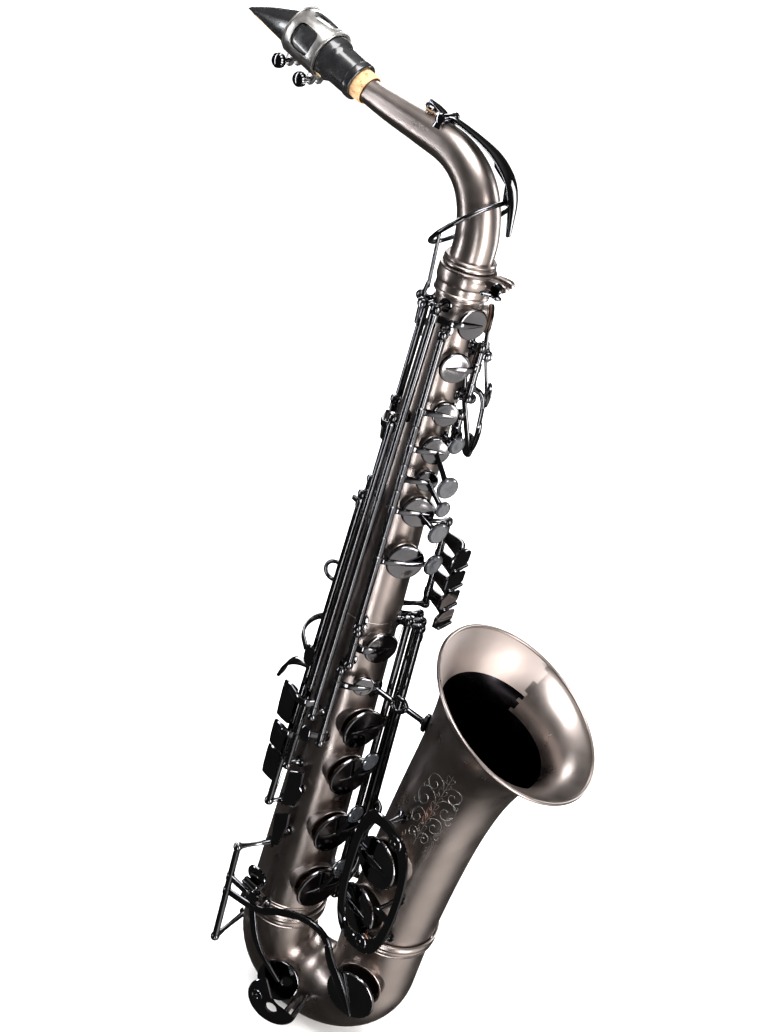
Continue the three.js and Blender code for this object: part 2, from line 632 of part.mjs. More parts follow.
for (const name of ["palm_d", "front_f", "fs_high", "g_sharp", "fs_trill", "low_b", "low_bb", "c_sharp", "table",
  "vent", "c_cup", "bb_cup"]) {
  linePost(LINES[name], LINES[name][0].z);
  linePost(LINES[name], LINES[name][1].z);
}
linePost(LINES.pinky, 55);
for (const line of [PALM_F, PALM_EB, OCTAVE_THUMB, OCTAVE_PIN, LOW_EB]) {
  const w = line[1].clone().sub(line[0]).normalize();
  for (const head of line) {
    const radial = head.clone().setZ(0).normalize();
    bodyPosts.push(post(radial.multiplyScalar(bodyRadius(head.z) - 0.4).setZ(head.z), head, w, false));
  }
}

const bodyHoles = Object.values(HOLES).filter((hole) => hole.at.x === 0);
const bodyOuter = turned(V(0, 0, GAP), V(0, 0, 1),
  [[BODY_FOOT_RADIUS, 0], [BODY_TOP_RADIUS, BODY_LENGTH - GAP]], 20);
const bodyInner = turned(V(0, 0, -2), V(0, 0, 1),
  [[BODY_FOOT_RADIUS - WALL, 0], [BODY_FOOT_RADIUS - WALL, 2], [BODY_TOP_RADIUS - WALL, BODY_LENGTH + 2],
    [BODY_TOP_RADIUS - WALL, BODY_LENGTH + 6]], 20);
const bodyTube = joined([bodyOuter, ...bodyHoles.map(chimney), ...bodyPosts])
  .subtract(joined([bodyInner, ...bodyHoles.map(bore), ...bodyBores]));

// ---------- bow, bell and their rings ----------

const bowFeet = [];
const pinkyFoot = V(-24.5, -8, -29);
bowFeet.push(post(pinkyFoot, LINES.pinky[1], lineDir(LINES.pinky), false));
const bowHoles = [HOLES.c, HOLES.c_sharp, HOLES.eb];
const bow = joined([skin(tubeRings(bowSteps(0), 20), false), ...bowHoles.map(chimney), ...bowFeet])
  .subtract(joined([skin(tubeRings(cutter(bowSteps(WALL)), 20), false), ...bowHoles.map(bore)]));

const bellHoles = [HOLES.b_low, HOLES.bb_low];
function bellRim() {
  const p = BELL_CURVE.getPoint(1);
  const d = BELL_CURVE.getTangent(1);
  const r = bellRadius(1);
  const profile = [
    [r - 1.2, -1.3], [r + 0.4, -1.5], [r + 1.2, -0.5], [r + 0.9, 0.9], [r - 0.4, 1.1], [r - 1.2, 0.2]];
  const { u, v, w } = frameFor(d);
  return skin(profile.map(([q, h]) => circle(p.clone().addScaledVector(w, h), u, v, q, 24)), true);
}
const bell = joined([skin(tubeRings(bellSteps(0), 24), false), ...bellHoles.map(chimney)])
  .subtract(joined([skin(tubeRings(cutter(bellSteps(WALL), 3), 24), false), ...bellHoles.map(bore)]))
  .add(bellRim());

function band(centre, axis, inner, outer, low, high, sides = 24) {
  const { u, v, w } = frameFor(axis);
  const profile = [
    [inner, low], [outer - 0.6, low], [outer, low + 0.8],
    [outer, high - 0.8], [outer - 0.6, high], [inner, high]];
  return skin(profile.map(([q, h]) => circle(centre.clone().addScaledVector(w, h), u, v, q, sides)), true);
}

const bodyBowRing = band(V(0, 0, 0), V(0, 0, 1), 26.5, 28.2, -5, 5)
  .add(turned(V(0, 27.2, 0), V(0, 1, 0), [[2.2, 0], [2.2, 4]], 8));
const bellAxis = V(0.07, 0, 1).normalize();
const bowBellRing = band(V(BELL_RING[0], 0, BELL_RING[1]), bellAxis, 31.1, 32.8, -5, 5)
  .add(turned(V(BELL_RING[0], 31.8, BELL_RING[1]), V(0, 1, 0), [[2.2, 0], [2.2, 4]], 8));

// Brace between body and bell: a ring with a foot to each tube
function ringBar(centre, axis, radius, thick, sides = 14) {
  const { u, v, w } = frameFor(axis);
  const rings = [];
  for (const [q, h] of [[-1, -1], [1, -1], [1, 1], [-1, 1]]) {
    rings.push(circle(centre.clone().addScaledVector(w, h * thick), u, v, radius + q * thick, sides));
  }
  return skin(rings, true);
}
const braceFrom = onBody(200, 72, 0.9);
const braceMid = V(38, -7, 197);
const braceTo = V(56, -7, 194);
const brace = joined([
  ringBar(braceMid, V(0, 1, 0), 5, 1.4),
  rod(braceFrom, braceMid.clone().add(V(-5, 0, 0.6)), 2, 8),
  rod(braceMid.clone().add(V(5, 0, -0.6)), braceTo, 2, 8),
]);

// ---------- strap ring, thumb hook, thumb rest, guards ----------

const strapAt = V(-bodyRadius(STRAP_Z) - STRAP_OFFSET, 0, STRAP_Z);
const strapRing = joined([
  ringBar(strapAt, V(0, 1, 0), 6.4, 1.3, 16),
  bar([onBody(STRAP_Z, -90, 1.2), onBody(STRAP_Z, -90, 3)], V(0, 0, 1), [12, 7], 3.6),
]);
const thumbHook = joined([
  plate(onBody(186, -90, 0.7), sideways(-90), V(0, 0, 1), [[-5, -12], [5, -12], [5, 12], [-5, 12]], 1.6),
  bar([onBody(188, -90, 1.4), onBody(188, -90, 14), onBody(182, -90, 22), onBody(172, -90, 25)],
    V(0, 1, 0), [9, 9, 10, 9], 2),
]);
const thumbRest = joined([
  turned(onBody(343, -143, 2.2), outward(-143), [[8.5, 0], [8.5, 2], [7, 3.4]], 14),
  rod(onBody(343, -143, 0.6), onBody(343, -143, 2.6), 3, 8),
]);

function footed(plateSolid, feet) {
  return joined([plateSolid, ...feet.map(([a, b]) => rod(a, b, 1.8, 6))]);
}
function bodyPlate(z, angle, height, outline) {
  const n = outward(angle);
  return footed(plate(onBody(z, angle, height), sideways(angle), V(0, 0, 1), outline, 1.6),
    [[onBody(z, angle, 0.35), onBody(z, angle, height + 0.4)]]);
}
const guardUpper = bodyPlate(113, -12, 5, [[-7, -17], [3, -11], [7, 3], [3.6, 6], [3.4, 18], [-7, 12]]);
const guardLower = bodyPlate(77, -12, 5, [[-5.7, -17], [-0.7, -12], [2.8, 7], [2, 18], [-9, 10]]);

const bellGuardN = outward(-22);
const bellGuardU = sideways(-22);
const bellGuardAt = BELL_CURVE.getPoint(0.25).addScaledVector(bellGuardN, 47).setZ(88);
const GUARD_OUTLINE = [
  [-18, 54], [6, 57], [25, 48], [32, 20], [30, -28], [20, -50], [-1, -53], [-14, -42], [-20, -10]];
const GUARD_INNER = [
  [-12, 44], [3, 48], [18, 41], [26, 18], [24, -26], [14, -40], [0, -44], [-8, -36], [-13, -8]];
const bellGuardPlate = plate(bellGuardAt, bellGuardU, V(0, 0, 1), GUARD_OUTLINE, 1.8)
  .subtract(plate(
    bellGuardAt.clone().addScaledVector(bellGuardN, -2), bellGuardU, V(0, 0, 1), GUARD_INNER, 6));
const guardPoint = (a, b, h) => bellGuardAt.clone()
  .addScaledVector(bellGuardU, a)
  .addScaledVector(V(0, 0, 1), b)
  .addScaledVector(bellGuardN, h);
const bellGuard = joined([
  bellGuardPlate,
  plate(bellGuardAt, bellGuardU, V(0, 0, 1), [[13, -13], [27, -14], [27, -7], [13, -8]], 1.8),
  rod(guardPoint(16, -10.5, 0.4), guardPoint(16, -10.5, -19), 1.8, 6),
  rod(guardPoint(17, -44, 0.4), guardPoint(17, -44, -20), 1.8, 6),
  rod(guardPoint(1, 50, 0.4), guardPoint(1, 50, -14.5), 1.8, 6),
]);

// A crescent under the low E flat cup, with a bumper hole
const lowGuardAt = V(27, -49, -44);
const lowGuard = joined([
  turned(lowGuardAt, V(0, -1, 0), [[19, 0], [19, 1.6]], 24)
    .subtract(turned(V(27.4, -48, -49.4), V(0, -1, 0), [[4.4, 0], [4.4, 4]], 12))
    .subtract(turned(V(35, -48, -33.5), V(0, -1, 0), [[11.5, 0], [11.5, 4]], 20)),
  rod(V(35, -50, -60), V(35, -28.1, -60), 1.8, 6),
  rod(V(43.3, -50, -49), V(43.3, -27.8, -49), 1.8, 6),
]);

// ---------- receiver, neck and mouthpiece ----------

const receiverTop = 476;
const receiver = joined([
  pipe(V(0, 0, 460), V(0, 0, receiverTop), 15.6, 14, 24),
  plate(V(12, -7, 470), V(1, 0, 0), V(0, 1, 0), [[0, 0], [14, 0], [14, 5], [0, 5]], 5),
  plate(V(12, 2, 470), V(1, 0, 0), V(0, 1, 0), [[0, 0], [14, 0], [14, 5], [0, 5]], 5),
]).subtract(joined([
  plate(V(11, -2, 459), V(1, 0, 0), V(0, 1, 0), [[0, 0], [9, 0], [9, 4], [0, 4]], 20),
  rod(V(21.5, -9, 472.5), V(21.5, 9, 472.5), 1.6, 8),
  rod(V(0, 0, 458), V(0, 0, 480), 13.9, 24),
]));
const neckScrew = joined([
  rod(V(21.5, -8, 472.5), V(21.5, 8, 472.5), 1.2, 8),
  turned(V(21.5, -7.6, 472.5), V(0, -1, 0), [[3.2, 0], [3.2, 4]], 10),
  plate(V(21.5, -11, 472.5), V(0, 0, 1), V(0, 1, 0),
    [[-4, 0], [4, 0], [5.5, -5], [2, -8], [-2, -8], [-5.5, -5]], 1.6),
]);

const SWING = NECK_SWING * RAD;
const onNeck = (x, z, y = 0) => V(
  x * Math.cos(SWING) - y * Math.sin(SWING), x * Math.sin(SWING) + y * Math.cos(SWING), z);
const NECK_SIDE = onNeck(0, 0, 1);

function neckSteps(shrink) {
  return NECK_LINE.map(([x, z], i) => {
    const before = NECK_LINE[Math.max(i - 1, 0)];
    const after = NECK_LINE[Math.min(i + 1, NECK_LINE.length - 1)];
    const d = onNeck(after[0] - before[0], after[1] - before[1]).normalize();
    return { p: onNeck(x, z), d, r: NECK_RADII[i] - shrink };
  });
}

function neckRings(steps, sides) {
  return steps.map(({ p, d, r }) => {
    const u = V(0, 0, 0).crossVectors(NECK_SIDE, d).normalize();
    return circle(p, u, NECK_SIDE, r, sides);
  });
}

const END = NECK_LINE[NECK_LINE.length - 1];
const BEFORE = NECK_LINE[NECK_LINE.length - 2];
const mouthDir = onNeck(END[0] - BEFORE[0], END[1] - BEFORE[1]).normalize();
const mouthUp = V(0, 0, 0).crossVectors(mouthDir, NECK_SIDE).multiplyScalar(-1).normalize();
const endPoint = onNeck(END[0], END[1]);
const alongMouth = (t, up = 0, side = 0) => endPoint.clone().addScaledVector(mouthDir, t)
  .addScaledVector(mouthUp, up).addScaledVector(NECK_SIDE, side);

// Octave vent and saddle on top of the neck, on a line of their own along its straight part
const VENT_T = -69;
const SADDLE_T = -80;
const saddleDir = onNeck(-28, 6.5).normalize();
const saddleUp = V(0, 0, 0).crossVectors(saddleDir, NECK_SIDE).multiplyScalar(-1).normalize();
const alongSaddle = (t, up, side = 0) => onNeck(-118, 547.4).addScaledVector(saddleDir, t)
  .addScaledVector(saddleUp, up).addScaledVector(NECK_SIDE, side);
const neckTube = joined([
  skin(neckRings(neckSteps(0), 20), false),
  rod(V(0, 0, 456), V(0, 0, 477.5), 11.8, 20),
  rod(V(0, 0, 476.6), V(0, 0, 481), 14.8, 20),
  rod(alongSaddle(VENT_T, 7), alongSaddle(VENT_T, 12.5), 2.6, 8),
  joined([-6.4, 6.4].map((s) => bar([alongSaddle(SADDLE_T, 6, s), alongSaddle(SADDLE_T, 17, s)],
    saddleDir, 4.5, 1.8))),
]).subtract(joined([
  skin(neckRings(cutter(neckSteps(WALL), 3), 20), false),
  rod(V(0, 0, 454), V(0, 0, 478), 10.9, 20),
  rod(alongSaddle(VENT_T, 0), alongSaddle(VENT_T, 14), 1.1, 8),
]));
const cork = pipe(alongMouth(-30), alongMouth(-1), 8.55, 7.75, 16);

// Neck octave key: pad over the vent, pivot in the saddle, long lever to a ring round the tenon
const octavePivot = alongSaddle(SADDLE_T, 14.8);
const STRAP = [
  [-31, 544.6], [-10, 539.4], [0.6, 535], [10.7, 526.8], [15.1, 516.7], [16.3, 509], [17, 498.5]];
const WEB = [
  [-3, 536.4], [-1, 530.6], [8, 524.5], [9.6, 514.4], [14.6, 514.4], [15, 518], [10, 527], [0.6, 535]];
const ringAxis = onNeck(-Math.sin(OCTAVE_RING_TILT), Math.cos(OCTAVE_RING_TILT));
const neckOctave = joined([
  rod(alongSaddle(SADDLE_T, 14.8, -5.1), alongSaddle(SADDLE_T, 14.8, 5.1), 2, 6),
  bar([octavePivot, alongSaddle(VENT_T, 15.4)], NECK_SIDE, [4, 5], 1.8),
  turned(alongSaddle(VENT_T, 12.85), saddleUp, [[3.8, 0], [3.8, 2.4], [2.8, 3]], 10),
  bar([octavePivot, ...STRAP.map(([x, z]) => onNeck(x, z))], NECK_SIDE, [4, 4, 7, 9, 9, 9, 7, 5], 1.8),
  plate(onNeck(0, 0, 0.8), onNeck(1, 0), V(0, 0, 1), WEB, 1.6),
  ringBar(onNeck(...OCTAVE_RING_AT), ringAxis, OCTAVE_RING, 1.2, 18),
]);

// Mouthpiece: round shank, barrel, then a beak with a flat table under it
function mouthRing(t, radius, top, flat, sides = 16) {
  const ring = [];
  const tall = top < radius ? 12.6 : radius;
  for (let i = 0; i < sides; i += 1) {
    const angle = (i + 0.5) / sides * Math.PI * 2;
    const roof = angle > Math.PI ? top - 0.3 : top;
    const up = Math.min(Math.max(Math.sin(angle) * tall, -flat), roof);
    ring.push(alongMouth(t, up, Math.cos(angle) * radius));
  }
  return ring;
}
const TABLE_FLAT = 8.6;
const MOUTH_STATIONS = [[SHANK, 10.4, 20, 20], [SHANK + 1, 10.9, 20, 20], [SHANK + 4, 10.9, 20, 20],
  [SHANK + 5, 10.5, 20, 20], [-7, 10.7, 20, 20], [-3, 12.2, 20, 20], [-2.6, 12.2, 20, TABLE_FLAT],
  [3, 12.8, 20, TABLE_FLAT], [24, 12.8, 20, TABLE_FLAT], [29, 12.4, 9.4, TABLE_FLAT], [36, 11.8, 5.4, TABLE_FLAT],
  [48, 10, -0.9, TABLE_FLAT], [MOUTH_TIP - 1.5, 8.2, -6.4, TABLE_FLAT], [MOUTH_TIP, 6.6, -7.4, TABLE_FLAT]];
const mouthBody = skin(MOUTH_STATIONS.map(([t, r, top, flat]) => mouthRing(t, r, top, flat)), false);
const mouthpiece = mouthBody.subtract(joined([
  rod(alongMouth(SHANK - 2), alongMouth(8), SHANK_BORE, 16),
  rod(alongMouth(7), alongMouth(27), 6.2, 12),
  bar([alongMouth(24.3, -6.1), alongMouth(51.5, -8.7)], NECK_SIDE, [10.6, 11.3], 6),
]));
const REED_STOPS = [[-1.6, 6.2, 3], [28, 6.4, 2.9], [55, 6.6, 0.8], [MOUTH_TIP - 0.6, 5.4, 0.7]];
const reed = skin(REED_STOPS.map(([t, half, thick]) => {
  const y = -TABLE_FLAT - 0.4;
  return [alongMouth(t, y, -half), alongMouth(t, y, half), alongMouth(t, y - thick, half * 0.7),
    alongMouth(t, y - thick, -half * 0.7)];
}), false);

// Ligature: a band round mouthpiece and reed, closed by two screws under it
const LIGATURE = [1.5, 27];
const SCREWS = [5, 22.5];
const LUG_DROP = -16.2;
function ligatureRing(t, extra) {
  return mouthRing(t, 12.75 + extra, 20, TABLE_FLAT + 3.7 + extra, 20);
}
const ligatureShell = skin([ligatureRing(LIGATURE[0], 1.5), ligatureRing(LIGATURE[1], 1.5),
  ligatureRing(LIGATURE[1], 0.4), ligatureRing(LIGATURE[0], 0.4)], true);
const cutOut = [-1, 1].map((s) => turned(
  alongMouth(14.2, 6, s * 5), mouthUp.clone().addScaledVector(NECK_SIDE, s * 0.7),
  [[4, 0], [4, 12]], 10));
const lugs = SCREWS.flatMap((t) => [-1, 1].map((s) => bar(
  [alongMouth(t, -12.8, s * 3.6), alongMouth(t, LUG_DROP - 2.6, s * 3.6)], mouthDir, 4.6, 3)));
const ligature = joined([ligatureShell, ...lugs]).subtract(joined([
  ...cutOut, ...SCREWS.map((t) => rod(alongMouth(t, LUG_DROP, -8), alongMouth(t, LUG_DROP, 8), 1.5, 8)),
  bar([alongMouth(LIGATURE[0] - 1, -13, 0), alongMouth(LIGATURE[1] + 1, -13, 0)], NECK_SIDE, 2.4, 4)]));
function ligatureScrew(t) {
  return joined([
    rod(alongMouth(t, LUG_DROP, -12), alongMouth(t, LUG_DROP, 7.5), 1.15, 8),
    turned(alongMouth(t, LUG_DROP, -9), NECK_SIDE.clone().multiplyScalar(-1),
      [[2, 0], [4, 2], [4, 6], [2.6, 7.4]], 10),
  ]);
}

// ---------- assembly ----------

const group = new THREE.Group();
group.name = "alto_saxophone";
// Colour, roughness and metalness of each finish
const FINISHES = {
  body: [0x7b716d, 0.34, 1],
  key: [0x3a3c42, 0.12, 1],
  steel: [0x8a8c92, 0.25, 1],
  pewter: [0x6f6a67, 0.36, 1],
  cork: [0xc08a55, 0.8, 0],
  black: [0x131314, 0.25, 0],
  reed: [0xd8c38a, 0.55, 0],
};
const SHIFT = V(bodyRadius(STRAP_Z) + STRAP_OFFSET, 0, -STRAP_Z);

function addNode(name, solid, finish) {
  const [color, roughness, metalness] = FINISHES[finish];
  const mesh = solid.getMesh();
  const geometry = new THREE.BufferGeometry();
  const points = new Float32Array(mesh.numVert * 3);
  for (let i = 0; i < mesh.numVert; i += 1) {
    points[i * 3] = mesh.vertProperties[i * mesh.numProp] + SHIFT.x;
    points[i * 3 + 1] = mesh.vertProperties[i * mesh.numProp + 1] + SHIFT.y;
    points[i * 3 + 2] = mesh.vertProperties[i * mesh.numProp + 2] + SHIFT.z;
  }
  geometry.setAttribute("position", new THREE.BufferAttribute(points, 3));
  geometry.setIndex(new THREE.BufferAttribute(new Uint32Array(mesh.triVerts), 1));
  geometry.computeVertexNormals();
  const item = new THREE.Mesh(geometry, new THREE.MeshStandardMaterial({ color, roughness, metalness }));
  item.name = name;
  group.add(item);
}

// A key is built closed on its hole and then turned about its hinge to where it rests.
function rested(key) {
  if (!key.open) {
    return key.solid;
  }
  const turn = new THREE.Matrix4().makeRotationAxis(key.axis, key.open * RAD);
  const back = new THREE.Matrix4().makeTranslation(-key.pivot.x, -key.pivot.y, -key.pivot.z);
  const forth = new THREE.Matrix4().makeTranslation(key.pivot.x, key.pivot.y, key.pivot.z);
  const whole = forth.multiply(turn).multiply(back);
  const mesh = key.solid.getMesh();
  const points = [];
  for (let i = 0; i < mesh.numVert; i += 1) {
    const k = i * mesh.numProp;
    const point = V(mesh.vertProperties[k], mesh.vertProperties[k + 1], mesh.vertProperties[k + 2]);
    points.push(point.applyMatrix4(whole));
  }
  const faces = [];
  for (let i = 0; i < mesh.triVerts.length; i += 3) {
    faces.push([mesh.triVerts[i], mesh.triVerts[i + 1], mesh.triVerts[i + 2]]);
  }
  return solidFrom(points, faces);
}

addNode("body_tube", bodyTube, "body");
for (const key of keys) {
  addNode(key.name, rested(key), "key");
}

addNode("bow", bow, "body");
addNode("bell", bell, "body");
addNode("body_bow_ring", bodyBowRing, "body");
addNode("bow_bell_ring", bowBellRing, "body");
addNode("bell_brace", brace, "key");
addNode("strap_ring", strapRing, "key");
addNode("thumb_hook", thumbHook, "key");
addNode("thumb_rest", thumbRest, "key");
addNode("side_guard_upper", guardUpper, "key");
addNode("side_guard_lower", guardLower, "key");
addNode("bell_key_guard", bellGuard, "key");
addNode("low_key_guard", lowGuard, "key");
addNode("neck_receiver", receiver, "body");
addNode("neck_screw", neckScrew, "key");
addNode("neck_tube", neckTube, "body");
addNode("neck_cork", cork, "cork");
addNode("neck_octave_key", neckOctave, "key");
addNode("mouthpiece", mouthpiece, "black");
addNode("reed", reed, "reed");
addNode("ligature", ligature, "pewter");
addNode("ligature_screw_near", ligatureScrew(SCREWS[0]), "key");
addNode("ligature_screw_tip", ligatureScrew(SCREWS[1]), "key");
addNode("upper_stack_rod", rod(LINES.upper[0], LINES.upper[1], ROD), "steel");
addNode("lower_stack_rod", rod(LINES.lower[0], LINES.lower[1], ROD), "steel");

export default group;
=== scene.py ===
# An alto saxophone in black nickel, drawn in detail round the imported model.
# Lengths are millimetres in a building frame whose origin is the centre of the ring between body
# and bow, +Z up the body tube and +X towards the bell. place() takes them to the row frame.
import math

import bmesh
import bpy
from mathutils import Matrix, Vector


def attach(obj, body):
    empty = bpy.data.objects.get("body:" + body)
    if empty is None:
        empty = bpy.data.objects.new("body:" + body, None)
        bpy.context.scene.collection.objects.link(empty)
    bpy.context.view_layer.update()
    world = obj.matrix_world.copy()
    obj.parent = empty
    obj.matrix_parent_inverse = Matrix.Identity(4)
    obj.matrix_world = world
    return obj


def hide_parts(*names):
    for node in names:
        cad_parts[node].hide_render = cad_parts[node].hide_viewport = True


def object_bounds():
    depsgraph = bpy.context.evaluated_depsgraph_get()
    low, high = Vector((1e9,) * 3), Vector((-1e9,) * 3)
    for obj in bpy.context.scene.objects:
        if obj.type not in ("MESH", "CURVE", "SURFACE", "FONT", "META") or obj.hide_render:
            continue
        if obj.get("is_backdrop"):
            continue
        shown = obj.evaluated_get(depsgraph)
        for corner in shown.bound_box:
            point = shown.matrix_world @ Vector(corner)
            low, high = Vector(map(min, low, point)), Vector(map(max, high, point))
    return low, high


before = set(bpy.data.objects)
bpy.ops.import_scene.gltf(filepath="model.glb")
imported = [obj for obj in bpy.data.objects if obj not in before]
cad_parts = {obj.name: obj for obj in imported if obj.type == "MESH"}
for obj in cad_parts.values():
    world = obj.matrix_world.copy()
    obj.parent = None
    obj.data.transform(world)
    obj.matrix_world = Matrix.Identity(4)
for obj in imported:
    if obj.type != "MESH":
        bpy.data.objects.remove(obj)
CAD_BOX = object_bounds()

RAD = math.pi / 180
BODY_LENGTH = 474
FOOT_RADIUS = 26
TOP_RADIUS = 13.1
WALL = 0.9
CHIMNEY = 3.4
SEAT_GAP = 0.35
CUP_THICK = 2.6
CUP_TOP = SEAT_GAP + CUP_THICK
TUBE_OUT = 2.3
BOW_RADIUS = 37.7
STRAP_Z = 262
STRAP_OFFSET = 9.5


def V(x, y, z):
    return Vector((x, y, z))


def body_radius(z):
    return FOOT_RADIUS + (TOP_RADIUS - FOOT_RADIUS) * z / BODY_LENGTH


SHIFT = V(body_radius(STRAP_Z) + STRAP_OFFSET, 0, -STRAP_Z)
UP = V(0, 0, 1)


def place(p):
    return (p + SHIFT) * 0.001


def outward(angle):
    return V(math.sin(angle * RAD), -math.cos(angle * RAD), 0)


def sideways(angle):
    return V(math.cos(angle * RAD), math.sin(angle * RAD), 0)


def on_body(z, angle, height=0):
    return outward(angle) * (body_radius(z) + height) + V(0, 0, z)


# ---------- camera ----------

CAMERA_TURN = 17.738 * RAD
CAMERA_RISE = 29.174 * RAD
CAMERA_ROLL = 15.911 * RAD
CAMERA_DISTANCE = 862.935
LOOK_AT = V(30, 0, 230)
FRAME_OFFSET = (11.0, -84.151)
FOCAL_PIXELS = 1399.169
IMAGE_HEIGHT = 1032
SENSOR = 36

back = V(math.sin(CAMERA_TURN) * math.cos(CAMERA_RISE), -math.cos(CAMERA_TURN) * math.cos(CAMERA_RISE),
         math.sin(CAMERA_RISE))
flat_right = V(math.cos(CAMERA_TURN), math.sin(CAMERA_TURN), 0)
flat_up = back.cross(flat_right)
right = flat_right * math.cos(CAMERA_ROLL) + flat_up * math.sin(CAMERA_ROLL)
up = flat_up * math.cos(CAMERA_ROLL) - flat_right * math.sin(CAMERA_ROLL)
camera_data = bpy.data.cameras.new("camera")
camera_data.sensor_width = SENSOR
camera_data.lens = FOCAL_PIXELS * SENSOR / IMAGE_HEIGHT
camera_data.clip_start = 0.01
camera = bpy.data.objects.new("camera", camera_data)
spot = LOOK_AT + back * CAMERA_DISTANCE - right * FRAME_OFFSET[0] - up * FRAME_OFFSET[1]
turn = Matrix((right, up, back)).transposed().to_4x4()
camera.matrix_world = Matrix.Translation(place(spot)) @ turn
bpy.context.scene.collection.objects.link(camera)
bpy.context.scene.camera = camera


# ---------- mesh building ----------


class Shape:
    """Closed shells in millimetres, joined into one mesh by make()."""

    def __init__(self):
        self.points = []
        self.faces = []

    def shell(self, points, faces):
        base = len(self.points)
        self.points += points
        self.faces += [tuple(base + i for i in face) for face in faces]

    def spin(self, pivot, axis, angle):
        turn = Matrix.Rotation(angle, 3, axis)
        self.points = [turn @ (p - pivot) + pivot for p in self.points]


def loft(shape, rings, closed=False):
    """Rings of equal length, or a single point at an end, skinned into one shell."""
    points = []
    starts = []
    for ring in rings:
        starts.append(len(points))
        points += ring
    count = max(len(ring) for ring in rings)
    faces = []
    for k in range(len(rings) if closed else len(rings) - 1):
        m = (k + 1) % len(rings)
        a = starts[k]
        b = starts[m]
        for i in range(count):
            j = (i + 1) % count
            if len(rings[k]) == 1:
                faces.append((a, b + j, b + i))
            elif len(rings[m]) == 1:
                faces.append((a + i, a + j, b))
            else:
                faces.append((a + i, a + j, b + j, b + i))
    if not closed:
        for k in (0, -1):
            if len(rings[k]) > 1:
                faces.append(tuple(range(starts[k], starts[k] + count)))
    shape.shell(points, faces)


def axes(direction):
    w = direction.normalized()
    seed = V(0, 0, 1) if abs(w.z) < 0.9 else V(1, 0, 0)
    u = seed.cross(w).normalized()
    return u, w.cross(u), w


def circle(centre, u, v, radius, sides):
    ring = []
    for i in range(sides):
        t = (i + 0.5) / sides * math.tau
        ring.append(centre + u * (math.cos(t) * radius) + v * (math.sin(t) * radius))
    return ring


def turned(shape, centre, axis, profile, sides=32, closed=False, knurl=0):
    """A body of revolution: profile holds (radius, height); a radius of 0 is a point on the axis."""
    u, v, w = axes(axis)
    rings = []
    for radius, height in profile:
        middle = centre + w * height
        if radius < 1e-6:
            rings.append([middle])
            continue
        ring = circle(middle, u, v, radius, sides)
        if knurl:
            ring = [middle + (p - middle) * (1 + (knurl if i % 2 else 0)) for i, p in enumerate(ring)]
        rings.append(ring)
    loft(shape, rings, closed)


def rod(shape, a, b, radius, sides=16, ease=0.25):
    length = (b - a).length
    ease = min(ease, radius * 0.4, length * 0.3)
    profile = [(radius - ease, 0), (radius, ease), (radius, length - ease), (radius - ease, length)]
    turned(shape, a, b - a, profile, sides)


def ball(shape, centre, radius, axis=UP, squash=1.0, sides=20):
    profile = []
    for i in range(11):
        t = -90 + i * 18
        profile.append((radius * math.cos(t * RAD) if 0 < i < 10 else 0, radius * squash * math.sin(t * RAD)))
    turned(shape, centre, axis, profile, sides)


def mix(a, b, t):
    return [x + (y - x) * t for x, y in zip(a, b)]


def soften(path, rounds, closed=False):
    """Corner cutting. Each entry is a list of numbers; an open path keeps its two ends."""
    for _ in range(rounds):
        fresh = [] if closed else [path[0]]
        pairs = list(zip(path, path[1:] + path[:1])) if closed else list(zip(path, path[1:]))
        for a, b in pairs:
            fresh.append(mix(a, b, 0.25))
            fresh.append(mix(a, b, 0.75))
        if not closed:
            fresh.append(path[-1])
        path = fresh
    return path


def box_section(width, thick, round_off):
    """Corner-rounded rectangle as (across, up) pairs."""
    c = min(round_off, width * 0.45, thick * 0.45)
    out = []
    for sx, sy, start in ((1, 1, 0), (-1, 1, 90), (-1, -1, 180), (1, -1, 270)):
        for step in (0, 45, 90):
            t = (start + step) * RAD
            out.append((sx * (width / 2 - c) + math.cos(t) * c, sy * (thick / 2 - c) + math.sin(t) * c))
    return out


def ribbon(shape, path, side, widths, thicks=1.8, rounds=2, round_off=0.7):
    """A bar of rounded rectangular section along a softened path; side is the direction of its width."""
    count = len(path)
    widths = widths if isinstance(widths, (list, tuple)) else [widths] * count
    thicks = thicks if isinstance(thicks, (list, tuple)) else [thicks] * count
    rows = [[*p, w, t] for p, w, t in zip(path, widths, thicks)]
    rows = soften(rows, rounds)
    places = [V(*row[:3]) for row in rows]
    rings = []
    for i, p in enumerate(places):
        along = (places[min(i + 1, len(places) - 1)] - places[max(i - 1, 0)]).normalized()
        lift = along.cross(side).normalized()
        across = lift.cross(along).normalized()
        width, thick = rows[i][3], rows[i][4]
        ring = [p + across * x + lift * y for x, y in box_section(width, thick, round_off)]
        if i in (0, len(places) - 1):
            ease = 0.35 * thick
            sign = -1 if i == 0 else 1
            small = box_section(max(width - 2 * ease, 0.3), max(thick - 2 * ease, 0.3), round_off)
            end = [p + along * (sign * ease) + across * x + lift * y for x, y in small]
            rings += [end, ring] if i == 0 else [ring, end]
        else:
            rings.append(ring)
    loft(shape, rings)


def wire(shape, path, radius, sides=10, rounds=2, closed=False):
    """A round section swept along a softened path."""
    radii = radius if isinstance(radius, (list, tuple)) else [radius] * len(path)
    rows = soften([[*p, r] for p, r in zip(path, radii)], rounds, closed)
    places = [V(*row[:3]) for row in rows]
    n = len(places)
    rings = []
    u = None
    for i, p in enumerate(places):
        after = places[(i + 1) % n] if closed else places[min(i + 1, n - 1)]
        before = places[i - 1] if closed else places[max(i - 1, 0)]
        along = (after - before).normalized()
        if u is None:
            u = axes(along)[0]
        u = (u - along * u.dot(along)).normalized()
        rings.append(circle(p, u, along.cross(u), rows[i][3], sides))
    loft(shape, rings, closed)


